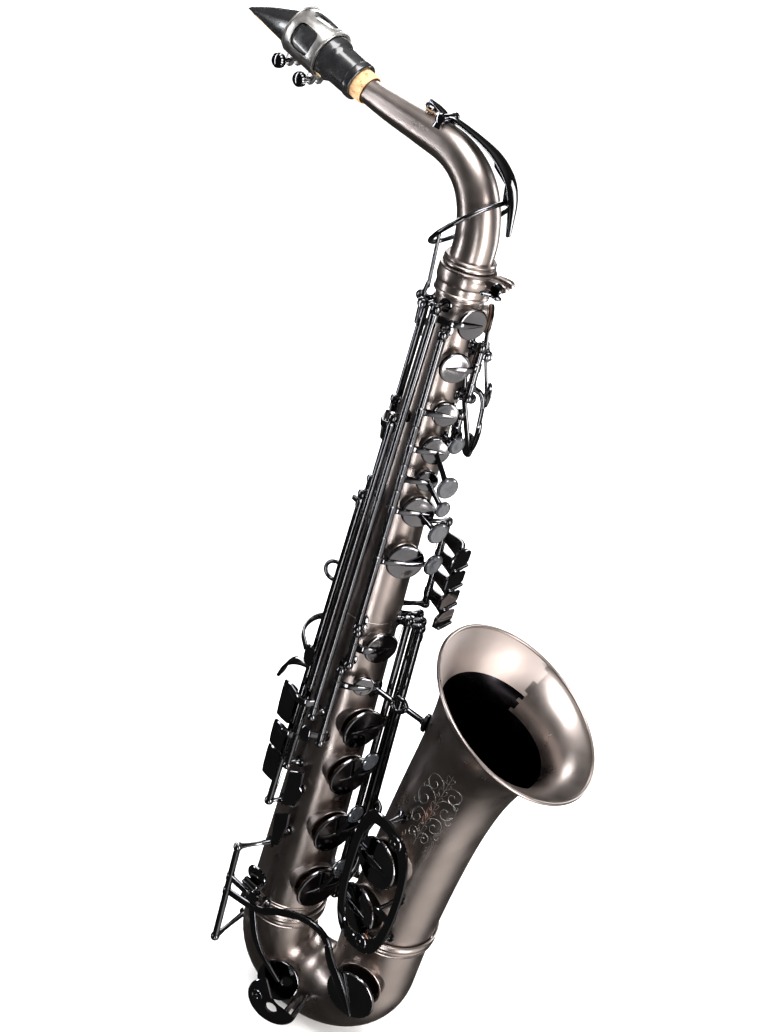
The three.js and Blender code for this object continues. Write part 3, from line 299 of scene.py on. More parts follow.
def area(outline):
    return sum(a[0] * b[1] - b[0] * a[1] for a, b in zip(outline, outline[1:] + outline[:1])) / 2


def inset(outline, depth):
    """Outline moved inwards; it runs counterclockwise."""
    out = []
    n = len(outline)
    for i, (x, y) in enumerate(outline):
        before = Vector((x - outline[i - 1][0], y - outline[i - 1][1])).normalized()
        after = Vector((outline[(i + 1) % n][0] - x, outline[(i + 1) % n][1] - y)).normalized()
        first = Vector((-before.y, before.x))
        middle = (first + Vector((-after.y, after.x))).normalized()
        reach = depth / max(0.5, middle.dot(first))
        out.append([x + middle.x * reach, y + middle.y * reach])
    return out


def slab(shape, centre, u, v, outline, thick, ease=0.5, rounds=2, crown=0.0):
    """A plate with softened outline, eased edges and, with crown, a domed top; thickness along u x v."""
    w = u.cross(v).normalized()
    flat = [list(p) for p in outline]
    if area(flat) < 0:
        flat.reverse()
    flat = soften(flat, rounds, closed=True)
    small = inset(flat, ease)
    mid = [sum(p[0] for p in flat) / len(flat), sum(p[1] for p in flat) / len(flat)]
    stops = [(small, 0), (flat, ease * 0.8), (flat, thick - ease), (small, thick - ease * 0.2)]
    if crown:
        for share, rise in ((0.8, 0.45), (0.55, 0.8), (0.25, 0.97)):
            stops.append(([mix(mid, p, share) for p in small], thick - ease * 0.2 + crown * rise))
    rings = [[centre + u * a + v * b + w * h for a, b in ring] for ring, h in stops]
    loft(shape, rings)


def by_angle(outline, middle, count):
    """Points of a star-shaped outline at even angles about the middle."""
    out = []
    for k in range(count):
        t = k / count * math.tau
        d = Vector((math.cos(t), math.sin(t)))
        best = 0
        for a, b in zip(outline, outline[1:] + outline[:1]):
            p = Vector((a[0] - middle[0], a[1] - middle[1]))
            e = Vector((b[0] - a[0], b[1] - a[1]))
            cross = d.x * e.y - d.y * e.x
            if abs(cross) < 1e-9:
                continue
            reach = (p.x * e.y - p.y * e.x) / cross
            share = (p.x * d.y - p.y * d.x) / cross
            if 0 <= share <= 1 and reach > best:
                best = reach
        out.append([middle[0] + d.x * best, middle[1] + d.y * best])
    return out


def hoop(shape, centre, u, v, outer, inner, thick, ease=0.5, rounds=2, count=96):
    """A flat frame between two outlines, with eased edges."""
    w = u.cross(v).normalized()
    middle = [sum(p[0] for p in inner) / len(inner), sum(p[1] for p in inner) / len(inner)]
    big = by_angle(soften([list(p) for p in outer], rounds, True), middle, count)
    small = by_angle(soften([list(p) for p in inner], rounds, True), middle, count)
    stops = [(inset(big, ease), 0), (big, ease), (big, thick - ease), (inset(big, ease), thick),
             (inset(small, -ease), thick), (small, thick - ease), (small, ease), (inset(small, -ease), 0)]
    loft(shape, [[centre + u * a + v * b + w * h for a, b in ring] for ring, h in stops], closed=True)


def torus(shape, centre, axis, radius, thick, sides=48, section=12, squash=1.0):
    profile = []
    for i in range(section):
        t = i / section * math.tau
        profile.append((radius + math.cos(t) * thick, math.sin(t) * thick * squash))
    turned(shape, centre, axis, profile, sides, closed=True)


def mesh_object(name, shape, angle=34):
    mesh = bpy.data.meshes.new(name)
    mesh.from_pydata([tuple(place(p)) for p in shape.points], [], shape.faces)
    work = bmesh.new()
    work.from_mesh(mesh)
    bmesh.ops.recalc_face_normals(work, faces=work.faces)
    for face in work.faces:
        face.smooth = True
    for edge in work.edges:
        edge.smooth = edge.calc_face_angle(0) < angle * RAD
    work.to_mesh(mesh)
    work.free()
    item = bpy.data.objects.new(name, mesh)
    bpy.context.scene.collection.objects.link(item)
    return item


def cut(item, tool_shape, name="cutter"):
    """Takes tool_shape away from a piece."""
    tool = mesh_object(name, tool_shape)
    step = item.modifiers.new("cut", "BOOLEAN")
    step.operation = "DIFFERENCE"
    step.solver = "EXACT"
    step.object = tool
    graph = bpy.context.evaluated_depsgraph_get()
    fresh = bpy.data.meshes.new_from_object(item.evaluated_get(graph))
    item.modifiers.clear()
    item.data = fresh
    bpy.data.objects.remove(tool)
    work = bmesh.new()
    work.from_mesh(fresh)
    for face in work.faces:
        face.smooth = True
    for edge in work.edges:
        edge.smooth = edge.calc_face_angle(0) < 34 * RAD
    work.to_mesh(fresh)
    work.free()


# ---------- materials ----------


def node(tree, kind, **inputs):
    made = tree.nodes.new(kind)
    for key, value in inputs.items():
        if key in made.inputs.keys():
            made.inputs[key].default_value = value
        else:
            setattr(made, key, value)
    return made


class Finish:
    """A Principled material whose colour, roughness and bump come from noise in object space."""

    def __init__(self, name, slot, metallic, colour, rough, coat=0.0, coat_rough=0.05, ior=1.5, sheen=0.0):
        self.slot = slot
        self.material = bpy.data.materials.new(name)
        self.material.use_nodes = True
        self.tree = self.material.node_tree
        self.shader = self.tree.nodes["Principled BSDF"]
        self.shader.inputs["Metallic"].default_value = metallic
        self.shader.inputs["Base Color"].default_value = (*colour, 1)
        self.shader.inputs["Roughness"].default_value = rough
        self.shader.inputs["Coat Weight"].default_value = coat
        self.shader.inputs["Coat Roughness"].default_value = coat_rough
        self.shader.inputs["IOR"].default_value = ior
        self.shader.inputs["Sheen Weight"].default_value = sheen
        self.coords = self.tree.nodes.new("ShaderNodeTexCoord").outputs["Object"]

    def noise(self, scale, detail=3.0, stretch=(1, 1, 1), rough=0.5):
        scaler = node(self.tree, "ShaderNodeMapping")
        scaler.inputs["Scale"].default_value = stretch
        self.tree.links.new(self.coords, scaler.inputs["Vector"])
        made = node(self.tree, "ShaderNodeTexNoise")
        made.inputs["Scale"].default_value = scale
        made.inputs["Detail"].default_value = detail
        made.inputs["Roughness"].default_value = rough
        self.tree.links.new(scaler.outputs["Vector"], made.inputs["Vector"])
        return made.outputs["Fac"]

    def ramp(self, source, stops):
        made = self.tree.nodes.new("ShaderNodeValToRGB")
        row = made.color_ramp.elements
        while len(row) < len(stops):
            row.new(0.5)
        for item, (at, colour) in zip(row, stops):
            item.position = at
            item.color = (*colour, 1)
        self.tree.links.new(source, made.inputs["Fac"])
        return made.outputs["Color"]

    def spread(self, source, low, high, from_low=0.3, from_high=0.7):
        made = self.tree.nodes.new("ShaderNodeMapRange")
        for key, value in zip(("From Min", "From Max", "To Min", "To Max"), (from_low, from_high, low, high)):
            made.inputs[key].default_value = value
        self.tree.links.new(source, made.inputs["Value"])
        return made.outputs["Result"]

    def colour(self, source):
        self.tree.links.new(source, self.shader.inputs["Base Color"])

    def roughness(self, source):
        self.tree.links.new(source, self.shader.inputs["Roughness"])

    def bump(self, source, distance, strength=1.0):
        made = self.tree.nodes.new("ShaderNodeBump")
        made.inputs["Distance"].default_value = distance
        made.inputs["Strength"].default_value = strength
        last = self.shader.inputs["Normal"]
        if last.is_linked:
            self.tree.links.new(last.links[0].from_socket, made.inputs["Normal"])
        self.tree.links.new(source, made.inputs["Height"])
        self.tree.links.new(made.outputs["Normal"], last)


def satin(name, dark, light, rough, slot="satin_body"):
    """Brushed plate: fine scratches round the tube, slight cloudiness."""
    made = Finish(name, slot, 1.0, dark, rough)
    made.colour(made.ramp(made.noise(26, 3), [(0.32, dark), (0.68, light)]))
    made.roughness(made.spread(made.noise(60, 4), rough - 0.05, rough + 0.07))
    made.bump(made.noise(900, 2, (0.35, 0.35, 6)), 0.00002, 0.55)
    return made


def gloss(name, dark, light, rough, slot="polished_key"):
    """Polished plate: smudges that dull the shine a little, and hairline marks."""
    made = Finish(name, slot, 1.0, dark, rough)
    made.colour(made.ramp(made.noise(55, 3), [(0.3, dark), (0.7, light)]))
    made.roughness(made.spread(made.noise(75, 5, rough=0.65), rough, rough + 0.1, 0.4, 0.75))
    made.bump(made.noise(260, 2), 0.00003, 0.35)
    return made


FINISHES = {
    "satin": satin("satin_black_nickel", (0.25, 0.215, 0.2), (0.31, 0.27, 0.255), 0.31),
    # The inside of the flare: rougher satin, its colour painted lighter than the outside as painted light
    # falling from above
    "flare": satin("satin_bell_inside_painted_light", (0.34, 0.295, 0.28), (0.4, 0.35, 0.33), 0.48),
    # The throat: polished, and painted near-black as painted shade deep inside the bell
    "throat": gloss("polished_throat_painted_shade", (0.012, 0.012, 0.014), (0.02, 0.02, 0.024), 0.12, "satin_body"),
    "gloss": gloss("polished_black_nickel", (0.075, 0.076, 0.082), (0.11, 0.11, 0.118), 0.05),
    "cup": gloss("polished_key_cup", (0.085, 0.085, 0.092), (0.13, 0.127, 0.132), 0.07),
    "steel": gloss("blued_steel", (0.2, 0.205, 0.22), (0.28, 0.28, 0.29), 0.16, "steel"),
}


def plain(name, slot, metallic, stops, scale, rough, bump_scale, bump_depth, **more):
    """A non-metal finish with cloudy colour and a fine grain."""
    made = Finish(name, slot, metallic, stops[0][1], rough, **more)
    made.colour(made.ramp(made.noise(scale, 5, rough=0.6), stops))
    made.roughness(made.spread(made.noise(scale * 3, 3), rough - 0.04, rough + 0.1))
    made.bump(made.noise(bump_scale, 4), bump_depth, 0.7)
    return made


FINISHES["pewter"] = plain("satin_pewter", "pewter", 1.0, [(0.35, (0.3, 0.29, 0.28)),
    (0.65, (0.42, 0.41, 0.4))], 120, 0.34, 1500, 0.00002)
FINISHES["ebonite"] = plain("hard_rubber", "ebonite", 0.0, [(0.3, (0.006, 0.006, 0.007)),
    (0.7, (0.014, 0.014, 0.015))], 90, 0.2, 700, 0.00001, coat=0.4)
FINISHES["pearl"] = plain("black_pearl", "ebonite", 0.0, [(0.3, (0.012, 0.014, 0.018)),
    (0.5, (0.035, 0.038, 0.045)), (0.62, (0.02, 0.028, 0.034)), (0.8, (0.07, 0.07, 0.08))], 170, 0.12, 300,
    0.00001, coat=1.0, coat_rough=0.03)
FINISHES["felt"] = plain("red_brown_felt", "cork", 0.0, [(0.3, (0.36, 0.1, 0.03)), (0.7, (0.55, 0.19, 0.06))],
                         600, 0.9, 2500, 0.0002, sheen=0.4)
FINISHES["leather"] = plain("pad_leather", "cork", 0.0, [(0.3, (0.1, 0.045, 0.022)),
    (0.7, (0.2, 0.1, 0.055))], 300, 0.5, 1800, 0.00006)
FINISHES["cane"] = plain("reed_cane", "cane", 0.0, [(0.3, (0.6, 0.45, 0.24)), (0.7, (0.78, 0.64, 0.4))],
                         400, 0.5, 1200, 0.00003)
cork = Finish("natural_cork", "cork", 0.0, (0.6, 0.37, 0.19), 0.75)
cork.colour(cork.ramp(cork.noise(420, 6, rough=0.7), [(0.36, (0.16, 0.075, 0.035)), (0.43, (0.5, 0.28, 0.13)),
                                                      (0.6, (0.66, 0.41, 0.21)), (0.8, (0.74, 0.5, 0.28))]))
cork.bump(cork.noise(420, 6, rough=0.7), 0.0004, 0.8)
FINISHES["cork"] = cork


def make(name, shape, body, finish, nodes=(), angle=34):
    """One visible piece from a shape: placed, finished, riding on its body, standing for CAD nodes."""
    item = mesh_object(name, shape, angle)
    return dress(item, body, finish, nodes)


def dress(item, body, finish, nodes=()):
    item.data.materials.clear()
    item.data.materials.append(FINISHES[finish].material)
    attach(item, body)
    if nodes:
        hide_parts(*nodes)
    return item


# ---------- bow, bell and tone holes ----------

BOW_CENTRE = V(BOW_RADIUS, 0, -20)
BELL_LINE = [V(75.4, 0, 29.6), V(79.5, 0, 92), V(84.8, 0, 180), V(108, 0, 227)]
BELL_RADII = [(0, 30.4), (0.3, 30.8), (0.52, 31.8), (0.68, 34), (0.8, 38), (0.88, 43), (0.94, 49.5),
    (0.98, 56.5), (1, 61.2)]
BELL_AXIS = V(0.07, 0, 1).normalized()


def bell_centre(t):
    a, b, c, d = BELL_LINE
    s = 1 - t
    return a * (s ** 3) + b * (3 * s * s * t) + c * (3 * s * t * t) + d * (t ** 3)


def bell_heading(t):
    a, b, c, d = BELL_LINE
    s = 1 - t
    return ((b - a) * (s * s) + (c - b) * (2 * s * t) + (d - c) * (t * t)).normalized()


def bell_radius(t):
    """Monotone smooth curve through the radii."""
    rows = BELL_RADII
    for i in range(1, len(rows)):
        if t <= rows[i][0] or i == len(rows) - 1:
            break
    (t0, r0), (t1, r1) = rows[i - 1], rows[i]
    slope = (r1 - r0) / (t1 - t0)
    before = slope if i == 1 else (r0 - rows[i - 2][1]) / (t0 - rows[i - 2][0])
    after = slope if i == len(rows) - 1 else (rows[i + 1][1] - r1) / (rows[i + 1][0] - t1)
    m0 = (before + slope) / 2 if i > 1 else slope
    m1 = (slope + after) / 2
    h = t1 - t0
    s = min(max((t - t0) / h, 0), 1)
    return ((2 * s ** 3 - 3 * s * s + 1) * r0 + (s ** 3 - 2 * s * s + s) * h * m0
            + (3 * s * s - 2 * s ** 3) * r1 + (s ** 3 - s * s) * h * m1)


def bell_point(t, angle, height=0):
    """A point on the bell's outside: angle 0 faces -Y, and angles turn towards +X."""
    d = bell_heading(t)
    u = V(0, 1, 0).cross(d).normalized()
    n = V(0, -math.cos(angle * RAD), 0) + u * math.sin(angle * RAD)
    return bell_centre(t) + n * (bell_radius(t) + height)


def body_hole(z, angle, cup):
    return {"at": V(0, 0, z), "n": outward(angle), "reach": body_radius(z) + CHIMNEY, "cup": cup,
            "wall": body_radius(z)}


def bell_hole(z, angle, cup):
    t = 0
    while bell_centre(t).z < z:
        t += 0.005
    r = 30.4 + (30.8 - 30.4) * t / 0.3 if t < 0.3 else bell_radius(t)
    return {"at": bell_centre(t), "n": outward(angle), "reach": r + CHIMNEY, "cup": cup, "wall": r}


HOLES = {
    "e_high": body_hole(450, 52, 9),
    "f_palm": body_hole(449, 118, 8.5),
    "fs_high": body_hole(432, -152, 8),
    "eb_palm": body_hole(421, 154, 8.5),
    "d_palm": body_hole(424, 42, 9),
    "vent": body_hole(404, -146, 4.6),
    "c_vent": body_hole(397, 45, 7.5),
    "c_side": body_hole(373, -66, 9),
    "b": body_hole(374, 46, 8.5),
    "bis": body_hole(354.5, 46, 6.6),
    "a": body_hole(334, 46, 10),
    "bb_side": body_hole(318, -68, 10),
    "g": body_hole(300, 47, 11.5),
    "g_sharp": body_hole(236, 50, 11),
    "fs_trill": body_hole(207, 40, 7),
    "fs": body_hole(175, 51, 14.5),
    "f": body_hole(137, 51, 15),
    "e": body_hole(89, 51, 15.5),
    "d": body_hole(40, 50, 16.5),
    "c": {"at": V(75.4, 0, -8), "n": V(0, -1, 0), "reach": 29.6 + CHIMNEY, "cup": 18, "wall": 29.4},
    "c_sharp": {"at": V(75.6, 0, -2), "n": V(0, 1, 0), "reach": 29.8 + CHIMNEY, "cup": 15.5, "wall": 29.6},
    "eb": {"at": BOW_CENTRE + V(-math.sin(32 * RAD), 0, -math.cos(32 * RAD)) * BOW_RADIUS,
           "n": V(0.1, -0.97, 0.22).normalized(), "reach": 27.2 + CHIMNEY, "cup": 15.6, "wall": 27},
    "b_low": bell_hole(56, -22, 17),
    "bb_low": bell_hole(99, -22, 17.5),
}
BOW_HOLES = ["c", "c_sharp", "eb"]
BELL_HOLES = ["b_low", "bb_low"]
BODY_HOLES = [name for name in HOLES if name not in BOW_HOLES + BELL_HOLES]


def seat(hole, height=0.0):
    return hole["at"] + hole["n"] * (hole["reach"] + height)


def chimney(shape, hole):
    outer = hole["cup"] - 1.6
    inner = hole["cup"] - 2.6
    low = hole["wall"] * 0.82
    top = hole["reach"]
    profile = [(inner, low), (outer, low), (outer, top - 1.1), (outer + 0.4, top - 0.8),
        (outer + 0.45, top - 0.4), (outer + 0.2, top - 0.05), (outer - 0.3, top), (inner, top - 0.25)]
    turned(shape, hole["at"], hole["n"], profile, 40, closed=True)


def bores(names):
    shape = Shape()
    for name in names:
        hole = HOLES[name]
        turned(shape, hole["at"], hole["n"], [(hole["cup"] - 2.65, hole["wall"] * 0.6),
            (hole["cup"] - 2.65, hole["reach"] + 2)], 40)
    return shape


def pipe_shell(shape, outer, inner):
    """A tube wall: outer rings one way, inner rings back."""
    loft(shape, outer + inner[::-1], closed=True)


SIDES = 80
TUBE_STEPS = 60
RING_GAP = 0.35
outer = []
inner = []
for k in range(TUBE_STEPS + 1):
    z = RING_GAP + (BODY_LENGTH - RING_GAP) * k / TUBE_STEPS
    outer.append(circle(V(0, 0, z), V(1, 0, 0), V(0, 1, 0), body_radius(z), SIDES))
    inner.append(circle(V(0, 0, z), V(1, 0, 0), V(0, 1, 0), body_radius(z) - WALL, SIDES))
tube = Shape()
pipe_shell(tube, outer, inner)
body_piece = mesh_object("body_tube_wall", tube)
cut(body_piece, bores(BODY_HOLES))
dress(body_piece, "body", "satin", ["body_tube"])

holes_shape = Shape()
for name in BODY_HOLES:
    chimney(holes_shape, HOLES[name])
# Turned rings below the receiver and round the foot
for z, grow in ((459, 0.5), (456.6, 0.35), (454.6, 0.35), (445, 0.3), (250, 0.25), (12.5, 0.4), (10, 0.6),
        (7.6, 0.4)):
    torus(holes_shape, V(0, 0, z), UP, body_radius(z), grow, 72, 8, 1.5)
make("body_tone_holes", holes_shape, "body", "satin")


BOW_DROP = 20
BOW_RISE = 49.6
BOW_WIDENS = 4.2
BOW_STEPS = 48


def bow_step(share):
    """Centre, direction and radius along the bow, share from 0 to 1."""
    arc = math.pi * BOW_RADIUS
    s = (BOW_DROP + arc + BOW_RISE) * share
    if s < BOW_DROP:
        p, d = V(0, 0, -s), V(0, 0, -1)
    elif s < BOW_DROP + arc:
        t = (s - BOW_DROP) / BOW_RADIUS
        p = BOW_CENTRE + V(-math.cos(t), 0, -math.sin(t)) * BOW_RADIUS
        d = V(math.sin(t), 0, -math.cos(t))
    else:
        p, d = V(2 * BOW_RADIUS, 0, s - arc - 2 * BOW_DROP), V(0, 0, 1)
    return p, d, FOOT_RADIUS + BOW_WIDENS * share


bow_outer = []
bow_inner = []
for k in range(BOW_STEPS + 1):
    p, d, r = bow_step(k / BOW_STEPS)
    u = V(0, 1, 0).cross(d).normalized()
    bow_outer.append(circle(p, u, V(0, 1, 0), r, SIDES))
    bow_inner.append(circle(p, u, V(0, 1, 0), r - WALL, SIDES))
tube = Shape()
pipe_shell(tube, bow_outer, bow_inner)
bow_piece = mesh_object("bow_wall", tube)
cut(bow_piece, bores(BOW_HOLES))
dress(bow_piece, "body", "satin", ["bow"])
holes_shape = Shape()
for name in BOW_HOLES:
    chimney(holes_shape, HOLES[name])
make("bow_tone_holes", holes_shape, "body", "satin")

# Share along the bell where the inside changes from the throat's painted shade to the flare's painted light
THROAT_END = 0.9
bell_rows = [[], []]
BELL_COUNT = 72
BELL_STEPS = [k / BELL_COUNT for k in range(BELL_COUNT + 1)]
for t in BELL_STEPS:
    d = bell_heading(t)
    u = V(0, 1, 0).cross(d).normalized()
    for row, shrink in ((bell_rows[0], 0), (bell_rows[1], WALL)):
        row.append(circle(bell_centre(t), u, V(0, 1, 0), bell_radius(t) - shrink, 96))
tube = Shape()
pipe_shell(tube, bell_rows[0], bell_rows[1])
bell_piece = mesh_object("bell_wall", tube)
cut(bell_piece, bores(BELL_HOLES))
dress(bell_piece, "body", "satin", ["bell"])
# Materials for the bell's inside: the flare's painted light and the throat's painted shade
bell_piece.data.materials.append(FINISHES["flare"].material)
bell_piece.data.materials.append(FINISHES["throat"].material)
holes_shape = Shape()
for name in BELL_HOLES:
    chimney(holes_shape, HOLES[name])
rim = []
for i in range(14):
    t = i / 14 * math.tau
    rim.append((bell_radius(1) - 0.2 + math.cos(t) * 1.25, math.sin(t) * 1.25))
turned(holes_shape, bell_centre(1), bell_heading(1), rim, 120, closed=True)
make("bell_rim_and_tone_holes", holes_shape, "body", "satin")

# The inside of the bell: satin flare painted lighter as painted light, polished throat painted near-black as
# painted shade
for face in bell_piece.data.polygons:
    p = face.center * 1000 - SHIFT
    along = min(BELL_STEPS, key=lambda t: abs((p - bell_centre(t)).dot(bell_heading(t))))
    radial = p - bell_centre(along)
    if radial.length < bell_radius(along) - WALL * 0.6 and face.normal.dot(radial) < 0:
        face.material_index = 1 if along > THROAT_END else 2

# Rings between body, bow and bell
for name, centre, axis, inner_r, outer_r in (
        ("body_bow_ring", V(0, 0, 0), UP, 26.5, 28.2),
        ("bow_bell_ring", V(75.4, 0, 29.6), BELL_AXIS, 31.1, 32.8)):
    shape = Shape()
    profile = [(inner_r, -5), (outer_r - 0.8, -5), (outer_r - 0.2, -4.6), (outer_r - 0.1, -4.1),
        (outer_r - 0.9, -3.6), (outer_r - 0.75, -3.2), (outer_r, -2.2), (outer_r + 0.1, -1.2),
        (outer_r - 0.2, -0.5), (outer_r - 0.2, 0.5), (outer_r + 0.1, 1.2), (outer_r, 2.2),
        (outer_r - 0.75, 3.2), (outer_r - 0.9, 3.6), (outer_r - 0.1, 4.1), (outer_r - 0.2, 4.6),
        (outer_r - 0.8, 5), (inner_r, 5)]
    turned(shape, centre, axis, profile, 96, closed=True)
    foot = centre + V(0, outer_r - 1.5, 0)
    turned(shape, foot, V(0, 1, 0), [(3, 0), (3, 1.6), (2.2, 2), (2.2, 4.6), (1.9, 5), (0, 5)], 20)
    make(name + "_band", shape, "body", "satin", [name])


# ---------- key work parts ----------


def cup(shape, hole):
    r = hole["cup"]
    g = SEAT_GAP
    profile = [(r - 0.5, g + 0.75), (r, g + 0.85), (r + 0.15, g + 1.15), (r, g + 1.5), (r - 0.15, g + 1.95),
        (r - 0.5, g + 2.4), (r - 1.2, g + 2.62), (r - 1.6, g + 2.6), (r * 0.6, g + 2.85),
        (r * 0.3, g + 2.98), (0, g + 3.02)]
    turned(shape, seat(hole), hole["n"], profile, 48)


def pad(shape, hole):
    r = hole["cup"] - 0.35
    g = SEAT_GAP
    profile = [(0, g - 0.05), (r - 3, g - 0.05), (r - 1, g + 0.02), (r - 0.35, g + 0.25), (r - 0.2, g + 0.6),
               (r - 0.4, g + 0.95), (0, g + 0.95)]
    turned(shape, seat(hole), hole["n"], profile, 40)


def line_heading(line):
    return (line[1] - line[0]).normalized()


def on_line(line, z):
    t = (line[0].z - z) / (line[0].z - line[1].z)
    return line[0].lerp(line[1], t)


def opening(line, hole):
    """Sense of turning about a hinge that takes a cup away from its hole."""
    if hole is None:
        return 1
    reach = seat(hole) - line[0]
    return math.copysign(1, line_heading(line).cross(reach).dot(hole["n"]))


class Key:
    """One key: metal, pad, pearl and felt, built closed and then turned to where it rests."""

    def __init__(self, name, line, open_angle=0.0, hole=None, body=None):
        self.name = name
        self.line = line
        self.hole = hole
        self.body = body or name
        self.angle = open_angle * opening(line, hole) * RAD
        self.parts = {"metal": Shape(), "pad": Shape(), "pearl": Shape(), "felt": Shape(), "cup": Shape()}
        self.metal = self.parts["metal"]
        if hole is not None:
            cup(self.parts["cup"], hole)
            pad(self.parts["pad"], hole)

    def barrel(self, top, bottom, collars=()):
        a = on_line(self.line, top)
        b = on_line(self.line, bottom)
        rod(self.metal, a, b, TUBE_OUT, 20, 0.35)
        w = line_heading(self.line)
        for z in collars:
            p = on_line(self.line, z)
            rod(self.metal, p - w * 2.6, p + w * 2.6, TUBE_OUT + 0.5, 20, 0.5)

    def arm(self, z, width=3.8, lift=0.0):
        """From the hinge to the top of the cup, tapering to a point near its far edge."""
        hole = self.hole
        start = on_line(self.line, z)
        end = seat(hole, CUP_TOP + 0.4)
        toward = end - start
        flat = toward - hole["n"] * toward.dot(hole["n"])
        flat.z = 0
        reach = min(hole["cup"] + 1, flat.length - 1)
        flat.normalize()
        tip = end + flat * (hole["cup"] * 0.62) - hole["n"] * 0.2
        knee = end - flat * reach + hole["n"] * lift
        ribbon(self.metal, [start, knee, end, tip], UP, [width + 0.6, width, width * 0.8, width * 0.25],
               [2.6, 2.2, 1.9, 0.8])

    def bridge(self, path, side, widths, thicks=2.0):
        ribbon(self.metal, path, side, widths, thicks)

    def pearl_at(self, top, n, radius):
        holder = [(radius - 1.6, -0.5), (radius - 0.4, -0.3), (radius + 0.35, 0.3), (radius + 0.5, 1.1),
                  (radius + 0.3, 1.65), (radius - 0.3, 1.6), (radius - 0.3, 0.9), (0, 0.9)]
        turned(self.metal, top, n, holder, 36)
        face = [(0, 0.8), (radius - 0.4, 0.8), (radius - 0.35, 1.8), (radius - 0.8, 2.35),
            (radius * 0.72, 2.45), (radius * 0.4, 2.25), (0, 2.15)]
        turned(self.parts["pearl"], top, n, face, 36)

    def pearl_on(self, z, angle, height, radius):
        top = on_body(z, angle, height)
        start = seat(self.hole, CUP_TOP + 0.3)
        under = top + outward(angle) * 0.3
        ribbon(self.metal, [start, start.lerp(under, 0.5) + outward(angle) * 0.6, under], UP, [3.4, 3, 4],
            1.8)
        self.pearl_at(top, outward(angle), radius)

    def done(self, nodes=None):
        finishes = {"metal": "gloss", "pad": "leather", "pearl": "pearl", "felt": "felt", "cup": "cup"}
        main = self.metal
        for kind, shape in self.parts.items():
            if not shape.points:
                continue
            if self.angle:
                shape.spin(self.line[0], line_heading(self.line), self.angle)
            stands_for = (nodes or [self.name]) if shape is main else ()
            item = make(self.name + "_" + kind, shape, self.body, finishes[kind], stands_for)


def across(z, angle, height, half):
    middle = on_body(z, angle, height)
    t = sideways(angle)
    return [middle - t * half, middle + t * half]


LINES = {
    "upper": [on_body(443, 10, 9.5), on_body(251, 10, 9.5)],
    "lower": [on_body(252, 93, 6.8), on_body(20, 93, 6.8)],
    "e_side": [on_body(455, -9, 9.6), on_body(176, -14, 9.6)],
    "c_side": [on_body(386, -24, 9.6), on_body(130, -29, 9.6)],
    "bb_side": [on_body(332, -39, 9.6), on_body(92, -43, 9.6)],
    "low_b": [on_body(246, 103, 14.5), on_body(40, 103, 15.5)],
    "low_bb": [on_body(246, 116, 14.5), on_body(76, 116, 15.5)],
    "c_cup": [on_body(384, -102, 6.5), on_body(362, -102, 6.5)],
    "bb_cup": [on_body(329, -103, 6.5), on_body(307, -103, 6.5)],
    "palm_d": [on_body(436, 86, 6.5), on_body(405, 86, 6.5)],
    "front_f": [on_body(396, 76, 6.5), on_body(378, 76, 6.5)],
    "fs_high": [on_body(444, -116, 9.5), on_body(214, -118, 9.5)],
    "g_sharp": [on_body(246, 11, 6.5), on_body(222, 11, 6.5)],
    "fs_trill": [on_body(217, 4, 8), on_body(160, 4, 8)],
    "pinky": [on_body(55, -39, 24), V(-30.4, -37.6, -31)],
    "vent": [on_body(413, -168, 6.5), on_body(395, -168, 6.5)],
    "c_sharp": [on_body(246, 130, 14), on_body(14, 130, 14)],
    "table": [on_body(313.4, 134, 17), on_body(252.6, 134, 17)],
}
PALM_F = across(430, 118, 8.5, 7)
PALM_EB = across(397, 150, 8.5, 7)
LOW_EB = across(10, -22, 9, 7)
OCTAVE_THUMB = across(384, -146, 7, 6)
PIN_ANGLE = -62
OCTAVE_PIN = across(452, PIN_ANGLE, 6, 6)

# name, hole, barrel top and bottom, arm height, opening, pearl (z, angle, height, radius)
STACK = [
    ("c_vent_key", "upper", "c_vent", 440, 388, 397, 11, None),
    ("b_key", "upper", "b", 387.6, 364, 374, 10, (357, 63, 15, 6.4)),
    ("bis_key", "upper", "bis", 363.6, 347, 354.5, 9, (342, 66, 14, 4.6)),
    ("a_key", "upper", "a", 346.6, 316, 334, 9, (326, 68, 14, 6.4)),
    ("g_key", "upper", "g", 315.6, 254.5, 300, 9, (304, 74, 14, 6.4)),
    ("f_sharp_key", "lower", "fs", 248.5, 156.5, 175, 8, None),
    ("f_key", "lower", "f", 156.1, 118.5, 137, 8, (156, 58, 14, 6.6)),
    ("e_key", "lower", "e", 118.1, 66.5, 89, 8, (112, 58, 14, 6.6)),
    ("d_key", "lower", "d", 66.1, 23.5, 40, 8, (66, 58, 14, 6.6)),
]
for name, line, hole, top, bottom, arm_z, opened, pearl in STACK:
    key = Key(name, LINES[line], opened, HOLES[hole])
    key.barrel(top, bottom, [arm_z])
    key.arm(arm_z, 4.2 if line == "lower" else 3.6)
    if pearl:
        key.pearl_on(*pearl)
    key.done()


SIDE_FACE = -22


def side_touch(key, line, z, at, size, angles):
    """A finger plate on an arm near the foot of a long barrel, turned to the player's palm."""
    angle, height = at
    half, width = size
    arm_z = max(z + half - 3, line[1].z + 4.8)
    path = [on_line(line, arm_z)] + [on_body(arm_z, a, h) for a, h in angles] + [on_body(arm_z, angle,
        height)]
    key.bridge(path, UP, [5.2] * len(path), 2.4)
    ease = 1.6
    across_half = width / 2
    outline = [[-half, -across_half + ease], [-half + ease, -across_half], [half - ease, -across_half],
               [half, -across_half + ease], [half, across_half - ease], [half - ease, across_half],
               [-half + ease, across_half], [-half, across_half - ease]]
    slab(key.metal, on_body(z, angle, height + 0.4), UP, sideways(SIDE_FACE), outline, 2.4, 0.7, 1, 0)


